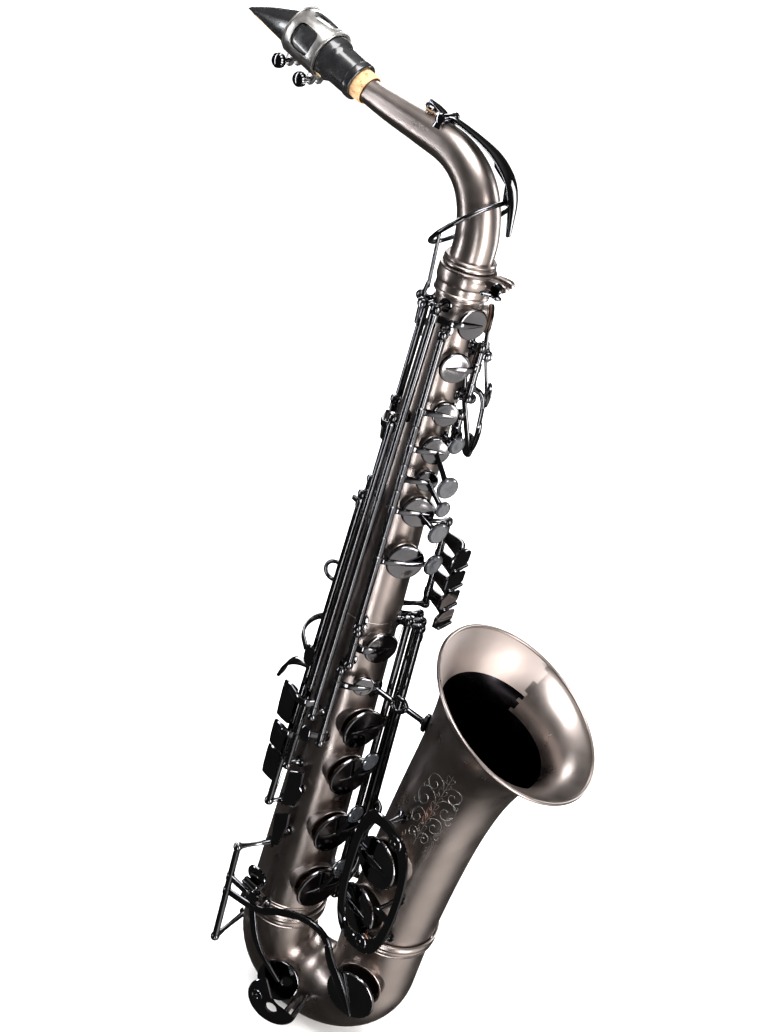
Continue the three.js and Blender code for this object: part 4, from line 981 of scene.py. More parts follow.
key = Key("high_e_key", LINES["e_side"], 0, HOLES["e_high"])
key.barrel(452.6, 178.4, [450, 181.8])
key.arm(450, 3.6, 1)
side_touch(key, LINES["e_side"], 175.5, (-44, 17.5), (14.5, 13), [(-20, 17), (-32, 17.5)])
key.done()
key = Key("side_c_touch", LINES["c_side"])
key.barrel(383.6, 132.4, [380, 154.9])
key.bridge([on_line(LINES["c_side"], 380), on_body(380, -37, 12)], UP, [4, 3.4], 2)
side_touch(key, LINES["c_side"], 148, (-43.4, 17), (10, 13), [(-34, 16.4)])
key.done()
key = Key("side_b_flat_touch", LINES["bb_side"])
key.barrel(329.6, 94.4, [326, 129])
key.bridge([on_line(LINES["bb_side"], 326), on_body(326, -52, 12)], UP, [4, 3.4], 2)
side_touch(key, LINES["bb_side"], 123, (-47, 15), (12.5, 13), [])
key.done()
for name, line, hole, top, bottom, z in (("side_c_cup", "c_cup", "c_side", 381.4, 364.6, 373),
                                         ("side_b_flat_cup", "bb_cup", "bb_side", 326.6, 309.4, 318)):
    key = Key(name, LINES[line], 0, HOLES[hole])
    key.barrel(top, bottom, [z])
    key.arm(z)
    key.done()


def short_rod(shape, line):
    w = line_heading(line)
    rod(shape, line[0] + w * 2.3, line[1] - w * 2.3, TUBE_OUT, 20, 0.35)


for name, line, hole, touch_z, touch_angle, touch_height, size in (("palm_f_key", PALM_F, "f_palm", 404,
        118, 15, 6), ("palm_e_flat_key", PALM_EB, "eb_palm", 366, 136, 16, 6)):
    key = Key(name, line, 0, None)
    cup(key.parts["cup"], HOLES[hole])
    pad(key.parts["pad"], HOLES[hole])
    short_rod(key.metal, line)
    middle = line[0].lerp(line[1], 0.5)
    top = seat(HOLES[hole], CUP_TOP + 0.4)
    edge = top + V(0, 0, -HOLES[hole]["cup"] - 1.5)
    touch = on_body(touch_z, touch_angle, touch_height)
    n = outward(touch_angle)
    side = sideways(touch_angle)
    key.bridge([top + V(0, 0, 4), top, edge, middle, touch + n * 0.6], side, [1.6, 3, 4, 4.4, 5.4],
        [1, 2, 2.4, 2.4, 2])
    outline = [[-size, -6], [size * 0.5, -8], [size, -3], [size, 5], [0, 8], [-size, 5]]
    slab(key.metal, touch, side, UP, outline, 2.0, 0.5, 2, 1.1)
    key.done()

key = Key("palm_d_key", LINES["palm_d"], 0, HOLES["d_palm"])
key.barrel(433.6, 407.4, [424, 412])
key.arm(424)
key.bridge([on_line(LINES["palm_d"], 412), on_body(408, 96, 14.6), on_body(386, 100, 15.5)], sideways(94),
    [4.4, 4.4, 5], 2)
slab(key.metal, on_body(382, 100, 14.6), sideways(100), UP, [[-6, -9], [4, -10], [7, 0], [4, 9], [-5, 8]],
    2.0, 0.5, 2, 1.1)
key.done()

key = Key("front_f_touch", LINES["front_f"])
key.barrel(393.6, 380.4, [386])
key.bridge([on_line(LINES["front_f"], 386), on_body(385, 70, 13), on_body(384, 62, 15)], UP, [4.4, 4, 4], 2)
key.pearl_at(on_body(382, 60, 14.6), outward(60), 5)
key.done()

key = Key("high_f_sharp_key", LINES["fs_high"], 0, HOLES["fs_high"])
key.barrel(441.6, 216.4, [432, 222])
key.bridge([on_line(LINES["fs_high"], 432), seat(HOLES["fs_high"], 3.3)], UP, [4.4, 3], 2)
key.bridge([on_line(LINES["fs_high"], 222), on_body(222, -96, 15.4), on_body(222, -66, 17.4),
    on_body(222, -38, 17.8)], UP, 4.6, 2)
slab(key.metal, on_body(219, -31, 17.8), UP, sideways(-28), [[-7.4, -4.6], [7.4, -4.6], [7.4, 4.6],
    [-7.4, 4.6]], 2.2, 0.6, 2, 0)
key.done()

key = Key("g_sharp_key", LINES["g_sharp"], 0, HOLES["g_sharp"])
key.barrel(243.6, 224.4, [236])
key.arm(236, 5)
key.done()

key = Key("f_sharp_trill_key", LINES["fs_trill"], 0, HOLES["fs_trill"])
key.barrel(214.6, 162.4, [207, 166])
key.arm(207)
key.bridge([on_line(LINES["fs_trill"], 165), on_body(165, -10, 13)], UP, 4.4, 2)
slab(key.metal, on_body(165, -12, 12.6), sideways(-12), UP, [[-4, -6], [4, -6], [4, 6], [-4, 6]], 2.0, 0.5,
    2, 0.6)
key.done()


def roller(shape, centre, axis, half, radius=2.0):
    """A small turned roller let into the edge of a touch."""
    w = axis.normalized()
    profile = [(0, -half), (radius * 0.7, -half), (radius, -half + 0.5), (radius * 1.08, 0),
        (radius, half - 0.5), (radius * 0.7, half), (0, half)]
    turned(shape, centre, w, profile, 20)


key = Key("low_e_flat_key", LOW_EB, 0, None)
cup(key.parts["cup"], HOLES["eb"])
pad(key.parts["pad"], HOLES["eb"])
short_rod(key.metal, LOW_EB)
key.bridge([on_body(44, -16, 19.6), on_body(34, -17, 15), on_body(10, -22, 9), V(0, -38, -18),
    seat(HOLES["eb"], 3.4)], V(1, 0, 0), [6, 5, 5, 4.6, 3], [2, 2.2, 2.6, 2.4, 1.8])
touch_u = sideways(-16)
slab(key.metal, on_body(44, -16, 19), UP, touch_u, [[-6, -7], [6, -7], [6, 9], [-6, 9]], 2.2, 0.5, 2, 0.5)
roller(key.metal, on_body(37.4, -16, 20.4), touch_u, 6)
key.done()
key = Key("low_c_key", LINES["pinky"], 5, HOLES["c"])
key.barrel(52.6, -28.6, [14, 27])
key.bridge([on_line(LINES["pinky"], 14), V(-2, -41, 17), V(14, -41.6, 30), V(34, -42, 38), V(49.5, -41.4, 33),
            V(57, -39.8, 16)], V(0.3, 0, 0.95), [4.6, 4.6, 4.8, 5, 5, 4.6], 2.6)
key.bridge([V(52, -41.4, 27), V(56.7, -39.6, 14), V(64, -38.2, 3), V(72, -37.4, -10), V(80, -36.4, -24)],
           V(0.94, 0, 0.34), [4.4, 6.4, 7, 6, 1.8], [2.6, 3, 3, 2.6, 1.6])
key.bridge([on_line(LINES["pinky"], 27), on_body(30, -16, 20.4)], UP, 5.4, 2)
slab(key.metal, on_body(30, -16, 20), UP, touch_u, [[-6, -7], [6, -7], [6, 9], [-6, 9]], 2.2, 0.5, 2, 0.5)
roller(key.metal, on_body(36.2, -16, 21), touch_u, 6, 1.4)
key.done()

# Octave work on the body
key = Key("octave_thumb_lever", OCTAVE_THUMB)
short_rod(key.metal, OCTAVE_THUMB)
key.bridge([on_body(384, -146, 7), on_body(366, -143, 7)], sideways(-143), [4.4, 6.4], 2)
slab(key.metal, on_body(361, -143, 6.2), sideways(-143), UP, [[-7, -6], [7, -6], [8, 2], [4, 8], [-4, 8],
    [-8, 2]], 2.2, 0.5, 2, 0.8)
key.done()
key = Key("octave_pin_key", OCTAVE_PIN)
short_rod(key.metal, OCTAVE_PIN)
key.bridge([on_body(438, PIN_ANGLE, 5.5), on_body(452, PIN_ANGLE, 6.4), on_body(462, PIN_ANGLE, 5.4)],
           sideways(PIN_ANGLE), [3, 4.4, 3.4], 2)
rod(key.metal, on_body(459, PIN_ANGLE, 4.8), outward(PIN_ANGLE) * 20 + V(0, 0, 490), 1.15, 12)
key.done()
key = Key("body_octave_key", LINES["vent"], 0, HOLES["vent"])
key.barrel(410.6, 397.4, [404])
key.arm(404, 3)
key.done()

# Long keys of the bell and of the low C sharp hole
for name, line, hole, z, bend, opened, span in (("low_b_key", "low_b", "b_low", 56,
        [V(44.2, -2, 56), V(45.4, -15, 56), V(46.6, -29, 56)], 6, (243.6, 42.4)),
        ("low_b_flat_key", "low_bb", "bb_low", 99, [V(44.5, 11, 99), V(46, -3, 99), V(47.2, -15, 99),
        V(48.6, -29.4, 99)], 5, (243.6, 78.4))):
    key = Key(name, LINES[line], opened, HOLES[hole])
    key.barrel(*span, [z, 240])
    end = seat(HOLES[hole], CUP_TOP + 0.4)
    path = [on_line(LINES[line], z), *bend, end, end + V(10, -3.4, 0)]
    key.bridge(path, UP, [6, 6] + [5.6] * (len(path) - 3) + [2], [2.8, 2.6] + [2.2] * (len(path) - 3) + [1])
    key.done()
key = Key("low_c_sharp_key", LINES["c_sharp"], 0, HOLES["c_sharp"])
key.barrel(243.6, 16.4, [22, 240])
key.bridge([on_line(LINES["c_sharp"], 22), V(50, 38, 12), seat(HOLES["c_sharp"], 3.4)], UP, [5, 4.6, 3],
    [2.6, 2.4, 1.8])
key.done()

TABLE_FACE = 76
TABLE = [("g_sharp_lever", 311, 297), ("c_sharp_lever", 296.6, 283), ("low_b_lever", 282.6, 269),
         ("b_flat_lever", 268.6, 255)]
for name, top, bottom in TABLE:
    z = (top + bottom) / 2
    half = (top - bottom) / 2 - 0.4
    key = Key(name, LINES["table"])
    key.barrel(top, bottom, [z])
    key.bridge([on_line(LINES["table"], z), on_body(z, 112, 25.4), on_body(z, 100, 26)], UP,
        [6, half * 2, half * 2], 2.2)
    outline = [[-11, -half], [8, -half], [8.4, half], [-11, half]]
    slab(key.metal, on_body(z, 98, 26), sideways(TABLE_FACE), UP, outline, 2.2, 0.5, 1, 0)
    roller(key.metal, on_body(bottom + 1.2, 98, 28), sideways(TABLE_FACE), 7, 1.2)
    key.done()


# ---------- posts ----------

posts = Shape()
screws = Shape()
springs = Shape()


def post(foot, head, axis):
    """A turned post: flange on the tube, waisted stem, round head bored for the hinge."""
    stem = head - foot
    h = stem.length
    profile = [(3.9, -0.6), (4.0, 0.5), (3.7, 0.9), (2.5, 1.1), (1.9, min(2.0, h * 0.4)), (1.5, h * 0.5),
               (1.6, h * 0.72), (2.2, h - 2.6), (2.2, h - 1.5), (1.6, h)]
    turned(posts, foot, stem, profile, 20)
    w = axis.normalized()
    head_profile = [(1.7, -2.35), (2.4, -2.2), (2.9, -1.6), (3.15, -0.8), (3.2, 0), (3.15, 0.8), (2.9, 1.6),
                    (2.4, 2.2), (1.7, 2.35)]
    turned(posts, head, w, head_profile, 24)
    for s in (-1, 1):
        turned(screws, head + w * (s * 2.2), w * s, [(1.3, 0), (1.3, 0.35), (1.0, 0.5), (0, 0.55)], 16)


def line_post(line, z, slide=0.0):
    head = on_line(line, z)
    flat = V(head.x, head.y, 0).normalized()
    foot = flat * (body_radius(z) - 0.3) + V(0, 0, z + slide)
    post(foot, head, line_heading(line))
    return flat


def needle(line, z, length):
    """A needle spring from a post towards the middle of its key."""
    head = on_line(line, z)
    w = line_heading(line)
    flat = V(head.x, head.y, 0).normalized()
    start = head - flat * 2.6
    rod(springs, start, start + w * length - flat * 0.8, 0.32, 8, 0.1)


for name, heights in (("upper", (443, 251.5)), ("lower", (251.5, 20.6)), ("e_side", (455.2, 176)),
                      ("c_side", (386.2, 130)), ("bb_side", (332.2, 92))):
    for z in heights:
        line_post(LINES[name], z)
    needle(LINES[name], heights[0], 26)
    needle(LINES[name], heights[1], -26)
for name in ("palm_d", "front_f", "fs_high", "g_sharp", "fs_trill", "low_b", "low_bb", "c_sharp", "table",
        "vent", "c_cup", "bb_cup"):
    line = LINES[name]
    line_post(line, line[0].z)
    line_post(line, line[1].z)
    needle(line, line[0].z, min(20, (line[0] - line[1]).length * 0.6))
line_post(LINES["pinky"], 55)
post(V(-24.5, -8, -29), LINES["pinky"][1], line_heading(LINES["pinky"]))
for line in (PALM_F, PALM_EB, OCTAVE_THUMB, OCTAVE_PIN, LOW_EB):
    for head in line:
        radial = V(head.x, head.y, 0).normalized()
        post(radial * (body_radius(head.z) - 0.3) + V(0, 0, head.z), head, line_heading(line))
make("hinge_posts", posts, "body", "gloss")
make("pivot_screws", screws, "body", "steel")
make("needle_springs", springs, "body", "steel")
for name, line in (("upper_stack_rod", "upper"), ("lower_stack_rod", "lower")):
    shape = Shape()
    rod(shape, LINES[line][0], LINES[line][1], 1.1, 16)
    make(name + "_steel", shape, "body", "steel", [name])

# ---------- brace, strap ring, thumb hook, thumb rest ----------

shape = Shape()
brace_mid = V(38, -7, 197)
torus(shape, brace_mid, V(0, 1, 0), 5, 1.5, 40, 12)
rod(shape, on_body(200, 72, 0.9), brace_mid + V(-5.5, 0, 0.6), 2, 20)
rod(shape, brace_mid + V(5.5, 0, -0.6), V(56, -7, 194), 2, 20)
foot_n = outward(72)
turned(shape, on_body(200, 72, 0.3), foot_n, [(6, 0), (6, 0.9), (5, 1.4), (2.6, 2), (2.2, 3.4)], 28)
turned(shape, V(57.4, -7, 193.9), V(-1, 0, 0), [(6.2, -1.4), (6, 0.4), (5, 1), (2.6, 1.6), (2.2, 3)], 28)
for s in (-1, 1):
    ball(shape, brace_mid + V(5 * s, 0, 0), 2.5, V(1, 0, 0), 0.8)
make("bell_brace_ring", shape, "body", "gloss", ["bell_brace"])

shape = Shape()
strap_at = V(-body_radius(STRAP_Z) - STRAP_OFFSET, 0, STRAP_Z)
torus(shape, strap_at, V(0, 1, 0), 6.4, 1.35, 40, 14)
slab(shape, on_body(STRAP_Z, -90, 0.2), sideways(-90), UP, [[-4, -11], [4, -11], [5, -3], [5, 3], [4, 11],
    [-4, 11], [-5, 3], [-5, -3]], 1.4, 0.4, 2)
ribbon(shape, [on_body(STRAP_Z, -90, 1.0), on_body(STRAP_Z, -90, 3.4)], UP, [11, 6], 3.6)
make("strap_ring_loop", shape, "body", "gloss", ["strap_ring"])

shape = Shape()
slab(shape, on_body(186, -90, 0.5), sideways(-90), UP, [[-5, -12], [5, -12], [5, 12], [-5, 12]], 1.8, 0.4, 2)
ribbon(shape, [on_body(189, -90, 1.4), on_body(189, -90, 13), on_body(184, -90, 22), on_body(172, -90, 25)],
       V(0, 1, 0), [9, 9, 10.5, 9], [2.4, 2.2, 2.2, 2.4], 3)
turned(shape, on_body(178.5, -90, 2), outward(-90), [(2.6, 0), (2.6, 0.9), (1.8, 1.6), (0, 1.7)], 20)
make("thumb_hook_plate", shape, "body", "gloss", ["thumb_hook"])

shape = Shape()
turned(shape, on_body(343, -143, 2.0), outward(-143), [(7.6, 0), (8.5, 0.5), (8.5, 2.1), (8, 2.8), (7, 3.3),
    (4, 3.45), (0, 3.5)], 40)
rod(shape, on_body(343, -143, 0.2), on_body(343, -143, 2.6), 3.2, 20)
make("thumb_rest_button", shape, "body", "pearl", ["thumb_rest"])

# ---------- guards ----------

felts = Shape()
for name, z, angle, outline in (
        ("side_guard_upper", 113, -12, [[-7, -17], [3, -11], [7, 3], [3.6, 6], [3.4, 18], [-7, 12]]),
        ("side_guard_lower", 77, -12, [[-5.7, -17], [-0.7, -12], [2.8, 7], [2, 18], [-9, 10]])):
    shape = Shape()
    slab(shape, on_body(z, angle, 4.8), sideways(angle), UP, outline, 1.9, 0.5, 0, 0)
    rod(shape, on_body(z, angle, 0), on_body(z, angle, 5), 1.9, 16)
    turned(shape, on_body(z, angle, 0), outward(angle), [(4.4, -0.5), (4.4, 0.8), (3, 1.2), (1.9, 2.2)], 24)
    make(name + "_plate", shape, "body", "gloss", [name])

GUARD_N = outward(-22)
GUARD_U = sideways(-22)
guard_at = bell_centre(0.25) + GUARD_N * 47
guard_at.z = 88
GUARD_OUTLINE = [[-18, 54], [6, 57], [25, 48], [32, 20], [30, -28], [20, -50], [-1, -53], [-14, -42],
    [-20, -10]]
GUARD_INNER = [[-12, 44], [3, 48], [18, 41], [26, 18], [24, -26], [14, -40], [0, -44], [-8, -36], [-13, -8]]


def guard_point(a, b, h):
    return guard_at + GUARD_U * a + UP * b + GUARD_N * h


shape = Shape()
hoop(shape, guard_at, GUARD_U, UP, GUARD_OUTLINE, GUARD_INNER, 1.9, 0.55)
slab(shape, guard_at, GUARD_U, UP, [[13, -13], [27, -14], [27, -7], [13, -8]], 1.8, 0.5, 1)
for a, b, depth in ((16, -10.5, -19), (17, -44, -20), (1, 50, -14.5)):
    foot = guard_point(a, b, depth)
    rod(shape, guard_point(a, b, 0.4), foot, 1.9, 16)
    turned(shape, foot, GUARD_N, [(4.2, -0.6), (4.2, 0.8), (3.2, 1.2), (1.9, 2.2)], 24)
for a, b in ((13.4, 45.5), (11.5, -42.3)):
    turned(shape, guard_point(a, b, -0.4), GUARD_N, [(5.4, 0), (5.6, 0.6), (5.6, 2.4), (5.2, 3.0), (3.4, 3.1),
                                                         (3.1, 2.7), (1.2, 2.7), (1.0, 3.2), (0, 3.3)], 32)
    turned(felts, guard_point(a, b, -2.2), GUARD_N, [(0, 0), (3.6, 0), (3.8, 0.4), (3.8, 1.9), (0, 1.9)], 24)
make("bell_key_guard_frame", shape, "body", "gloss", ["bell_key_guard"])

shape = Shape()
low_at = V(27, -49, -44)
DOWN_Y = V(0, -1, 0)
LOW_GUARD_RADIUS = 19
BITE_AT = (35, -33.5)
BITE_RADIUS = 11.5


def guard_edge(angle):
    """Distance from the disc's centre to the crescent's edge, where a round bite is taken out of it."""
    dx, dz = BITE_AT[0] - low_at.x, BITE_AT[1] - low_at.z
    along = dx * math.cos(angle) + dz * math.sin(angle)
    inside = along * along - (dx * dx + dz * dz) + BITE_RADIUS ** 2
    if inside <= 0 or along <= 0:
        return LOW_GUARD_RADIUS
    return min(LOW_GUARD_RADIUS, along - math.sqrt(inside))


outline = []
for i in range(72):
    angle = i / 72 * math.tau
    reach = guard_edge(angle)
    outline.append([math.cos(angle) * reach, math.sin(angle) * reach])
slab(shape, low_at + DOWN_Y * 0.9, V(1, 0, 0), UP, outline, 1.8, 0.5, 0)
crescent = mesh_object("low_key_guard_disc", shape)
tool = Shape()
rod(tool, V(27.4, -54, -49.4), V(27.4, -46, -49.4), 4.4, 32, 0.01)
cut(crescent, tool)
dress(crescent, "body", "gloss", ["low_key_guard"])
shape = Shape()
for a, b in ((V(35, -50, -60), V(35, -28.1, -60)), (V(43.3, -50, -49), V(43.3, -27.8, -49))):
    rod(shape, a, b, 1.9, 16)
turned(shape, V(14.6, -49.2, -45.3), DOWN_Y, [(4.6, 0), (4.8, 0.6), (4.8, 2.2), (4.4, 2.8), (2.8, 2.9),
    (2.4, 2.5), (1, 2.5), (0.8, 3), (0, 3.1)], 32)
make("low_key_guard_feet", shape, "body", "gloss", ["low_key_guard"])
make("guard_felts", felts, "body", "felt")

# ---------- receiver, neck and octave key ----------

shape = Shape()
profile = [(14, 460), (15, 460), (15.6, 460.6), (15.6, 462), (15.1, 462.6), (15.1, 466.5), (15.5, 467),
    (15.9, 468), (15.9, 473.4), (15.6, 474.2), (16, 474.8), (16, 475.6), (15.4, 476), (14, 476)]
turned(shape, V(0, 0, 0), UP, profile, 80, closed=True)
EAR = [[0, 0.4], [11, 0.8], [13.6, 2.6], [14, 4], [12.6, 5.6], [9, 6.2], [0, 6]]
for y in (-6.6, 2.6):
    slab(shape, V(12.5, y + 4.2, 469), V(1, 0, 0), UP, [[a, b] for a, b in EAR], 4.2, 0.6, 2)
make("neck_receiver_collar", shape, "body", "satin", ["neck_receiver"])
shape = Shape()
rod(shape, V(21.5, -9.6, 472.5), V(21.5, 8.2, 472.5), 1.2, 16)
turned(shape, V(21.5, -7.4, 472.5), V(0, -1, 0), [(2.4, 0), (3.2, 0.4), (3.2, 3.4), (2.4, 4)], 24)
slab(shape, V(21.5, -10.4, 471.7), V(1, 0, 0), V(0, -1, 0), [[-2.2, 0], [2.2, 0], [2.6, 2], [6, 5.4],
    [6.4, 8], [3.6, 9.4], [0, 6.6], [-3.6, 9.4], [-6.4, 8], [-6, 5.4], [-2.6, 2]], 1.8, 0.5, 2)
make("neck_screw_wing", shape, "neck_screw", "gloss", ["neck_screw"])

SWING = -12 * RAD
NECK_LINE = [(0, 477), (0, 492), (-4.5, 508.5), (-13.5, 521.3), (-28, 530), (-49, 533.8), (-72, 537),
    (-90, 540.4), (-118, 548.4)]
NECK_RADII = [12.2, 12, 11.6, 11, 10.2, 9.2, 8.1, 7.1, 7]


def on_neck(x, z, y=0.0):
    return V(x * math.cos(SWING) - y * math.sin(SWING), x * math.sin(SWING) + y * math.cos(SWING), z)


NECK_SIDE = on_neck(0, 0, 1)
neck_dir = (on_neck(*NECK_LINE[-1]) - on_neck(*NECK_LINE[-2])).normalized()
neck_up = -(neck_dir.cross(NECK_SIDE)).normalized()
neck_end = on_neck(*NECK_LINE[-1])
VENT_T = -69
SADDLE_T = -80
saddle_dir = on_neck(-28, 6.5).normalized()
saddle_up = -(saddle_dir.cross(NECK_SIDE)).normalized()


def along_mouth(t, rise=0.0, side=0.0):
    return neck_end + neck_dir * t + neck_up * rise + NECK_SIDE * side


def along_saddle(t, rise=0.0, side=0.0):
    return on_neck(-118, 547.4) + saddle_dir * t + saddle_up * rise + NECK_SIDE * side


def catmull(rows, steps):
    """Smooth curve through rows of numbers."""
    out = []
    n = len(rows)
    for i in range(n - 1):
        p0, p1, p2, p3 = rows[max(i - 1, 0)], rows[i], rows[i + 1], rows[min(i + 2, n - 1)]
        for k in range(steps):
            t = k / steps
            out.append([0.5 * (2 * b + (c - a) * t + (2 * a - 5 * b + 4 * c - d) * t * t
                               + (3 * b - a - 3 * c + d) * t ** 3) for a, b, c, d in zip(p0, p1, p2, p3)])
    out.append(list(rows[-1]))
    return out


neck_rows = catmull([[x, z, r] for (x, z), r in zip(NECK_LINE, NECK_RADII)], 7)
outer = []
inner = []
for i, (x, z, r) in enumerate(neck_rows):
    a = neck_rows[max(i - 1, 0)]
    b = neck_rows[min(i + 1, len(neck_rows) - 1)]
    d = on_neck(b[0] - a[0], b[1] - a[1]).normalized()
    u = NECK_SIDE.cross(d).normalized()
    outer.append(circle(on_neck(x, z), u, NECK_SIDE, r, 64))
    inner.append(circle(on_neck(x, z), u, NECK_SIDE, r - WALL, 64))
shape = Shape()
pipe_shell(shape, outer, inner)
turned(shape, V(0, 0, 0), UP, [(10.9, 456), (11.8, 456), (11.8, 477), (10.9, 477)], 64, closed=True)
turned(shape, V(0, 0, 0), UP, [(11.5, 476.6), (14, 476.6), (14.8, 477), (14.8, 478), (14.2, 478.5),
    (14.6, 479.2), (14.6, 480.2), (14, 481), (11.5, 481)], 72, closed=True)
turned(shape, along_saddle(VENT_T, 6.6), saddle_up, [(3.8, 0), (3.2, 1.4), (2.7, 2.4), (2.6, 5.2),
    (2.9, 5.6), (2.7, 5.9), (1.2, 5.9)], 28)
make("neck_tube_wall", shape, "neck", "satin", ["neck_tube"])
shape = Shape()
for s in (-6.4, 6.4):
    ribbon(shape, [along_saddle(SADDLE_T, 6, s), along_saddle(SADDLE_T, 12, s),
        along_saddle(SADDLE_T, 16.2, s)], saddle_dir, [7, 4.6, 3.6], 2.0)
    turned(shape, along_saddle(SADDLE_T, 14.8, s), NECK_SIDE, [(1.6, -1.6), (2.6, -1.3), (2.9, 0),
        (2.6, 1.3), (1.6, 1.6)], 24)
slab(shape, along_saddle(SADDLE_T, 7.4), saddle_dir, NECK_SIDE, [[-4, -8], [4, -8], [4, 8], [-4, 8]], 1.6,
    0.4, 2)
make("neck_octave_saddle", shape, "neck", "gloss")

cork_rows = [(7.8, -30), (8.2, -30), (8.5, -29.4), (8.6, -26), (8.55, -14), (8.5, -2), (8.3, -1.1), (7.8, -1)]
shape = Shape()
turned(shape, neck_end, neck_dir, cork_rows, 56, closed=True)
make("neck_cork_sleeve", shape, "neck", "cork", ["neck_cork"])

shape = Shape()
octave_pivot = along_saddle(SADDLE_T, 14.8)
rod(shape, along_saddle(SADDLE_T, 14.8, -5), along_saddle(SADDLE_T, 14.8, 5), 2.2, 20)
ribbon(shape, [octave_pivot, along_saddle(-74, 16.4), along_saddle(-66, 16.4)], NECK_SIDE, [4.4, 5, 2.4], 2)
turned(shape, along_saddle(VENT_T, 13.9), saddle_up, [(3.9, 0), (4.2, 0.5), (4.1, 1.4), (3.4, 2), (0, 2.3)],
    28)
strap = [(-31, 544.6), (-10, 539.4), (0.6, 535), (10.7, 526.8), (15.1, 516.7), (16.5, 509), (17.9, 500)]
ribbon(shape, [octave_pivot] + [on_neck(*point) for point in strap], NECK_SIDE,
    [4.4, 4.6, 7, 9.4, 9.6, 8.6, 6, 4], [2.4, 2.2, 2.2, 2.2, 2.0, 2.0, 1.9, 1.7], 3)
web = [[-3, 536.4], [-1, 530.6], [8, 524.5], [9.6, 514.4], [14.6, 514.4], [15, 518], [10, 527], [0.6, 535]]
slab(shape, on_neck(0, 0), on_neck(1, 0), UP, web, 1.6, 0.4, 0)
RING_TILT = 0.81
torus(shape, on_neck(-5.7, 498.2), on_neck(-math.sin(RING_TILT), math.cos(RING_TILT)), 23.9, 1.35, 72, 12)
turned(shape, on_neck(11.6, 519, -1), -NECK_SIDE, [(0, 0), (2, 0), (2.2, 0.4), (1.8, 1.4), (0, 1.6)], 20)
make("neck_octave_lever", shape, "neck_octave_key", "gloss", ["neck_octave_key"])
shape = Shape()
turned(shape, along_saddle(VENT_T, 12.85), saddle_up, [(0, 0), (3.4, 0), (3.6, 0.4), (3.6, 1.15),
    (0, 1.15)], 24)
make("neck_octave_pad", shape, "neck_octave_key", "cork")

# ---------- mouthpiece, reed and ligature ----------

FLAT = 8.6


def mouth_ring(t, radius, top, flat, sides=64):
    ring = []
    tall = 12.6 if top < 12.6 else radius
    for i in range(sides):
        angle = (i + 0.5) / sides * math.tau
        rise = max(math.sin(angle) * tall, -flat)
        if top < tall:
            rise = (rise + flat) * (top + flat) / (tall + flat) - flat
        ring.append(along_mouth(t, rise, math.cos(angle) * radius))
    return ring


MOUTH = [(-23, 10.2, 20, 20), (-22.6, 10.7, 20, 20), (-22, 10.9, 20, 20), (-19, 10.9, 20, 20),
    (-18.6, 10.6, 20, 20), (-18.2, 10.4, 20, 20), (-17.6, 10.5, 20, 20), (-7, 10.7, 20, 20),
    (-5.4, 11, 20, 20), (-4, 11.7, 20, 20), (-3, 12.2, 20, 20), (-2.6, 12.3, 20, FLAT), (3, 12.8, 20, FLAT),
    (24, 12.8, 20, FLAT), (25.4, 12.75, 12, FLAT), (27, 12.6, 11.2, FLAT), (29, 12.4, 10.5, FLAT),
    (32.5, 12.1, 9.0, FLAT), (36, 11.8, 7.2, FLAT), (42, 10.9, 4.1, FLAT), (48, 10, 0.9, FLAT),
    (53, 9.2, -2.2, FLAT), (58.5, 8.2, -5.8, FLAT), (59.5, 7.5, -7, FLAT), (60, 6.6, -7.6, FLAT)]
shape = Shape()
loft(shape, [mouth_ring(*row) for row in MOUTH])
mouth_piece = mesh_object("mouthpiece_body", shape, 30)
tool = Shape()
rod(tool, along_mouth(-25), along_mouth(8), 8.9, 48, 0.01)
cut(mouth_piece, tool)
tool = Shape()
ribbon(tool, [along_mouth(24.3, -6.1), along_mouth(51.5, -8.7)], NECK_SIDE, [10.6, 11.3], 6, 0, 0.3)
cut(mouth_piece, tool)
dress(mouth_piece, "mouthpiece", "ebonite", ["mouthpiece"])
shape = Shape()
rows = []
for t, half, thick in ((-1.6, 6.2, 3), (13, 6.3, 3), (28, 6.4, 2.9), (38, 6.5, 2.2), (48, 6.6, 1.3),
        (55, 6.6, 0.8), (59.4, 5.4, 0.6)):
    y = -FLAT - 0.35
    ring = [along_mouth(t, y, -half), along_mouth(t, y, half)]
    for k in range(9):
        s = 1 - k / 4
        ring.append(along_mouth(t, y - thick * math.sqrt(max(0.12, 1 - (abs(s) ** 2.6) * 0.88)),
            half * 0.96 * s))
    rows.append(ring)
loft(shape, rows)
make("reed_blade", shape, "mouthpiece", "cane", ["reed"])


def ligature_ring(t, extra):
    return mouth_ring(t, 12.75 + extra, 20, FLAT + 3.7 + extra, 64)


shape = Shape()
loft(shape, [ligature_ring(1.5, 1.3), ligature_ring(1.9, 1.5), ligature_ring(26.6, 1.5),
    ligature_ring(27, 1.3), ligature_ring(27, 0.5), ligature_ring(1.5, 0.5)], closed=True)
ligature_piece = mesh_object("ligature_band", shape)
tool = Shape()


def window(tilt, centre, half_long, half_wide, power):
    """A rounded opening through one side of the band; power 2 is an oval, more is squarer."""
    n = (neck_up * math.cos(tilt * RAD) + NECK_SIDE * math.sin(tilt * RAD)).normalized()
    side = n.cross(neck_dir)
    outline = []
    for i in range(40):
        c, d = math.cos(i / 40 * math.tau), math.sin(i / 40 * math.tau)
        outline.append([math.copysign(abs(c) ** (2 / power), c) * half_long,
                        math.copysign(abs(d) ** (2 / power), d) * half_wide])
    loft(tool, [[along_mouth(centre) + neck_dir * a + side * b + n * h for a, b in outline] for h in (9, 20)])


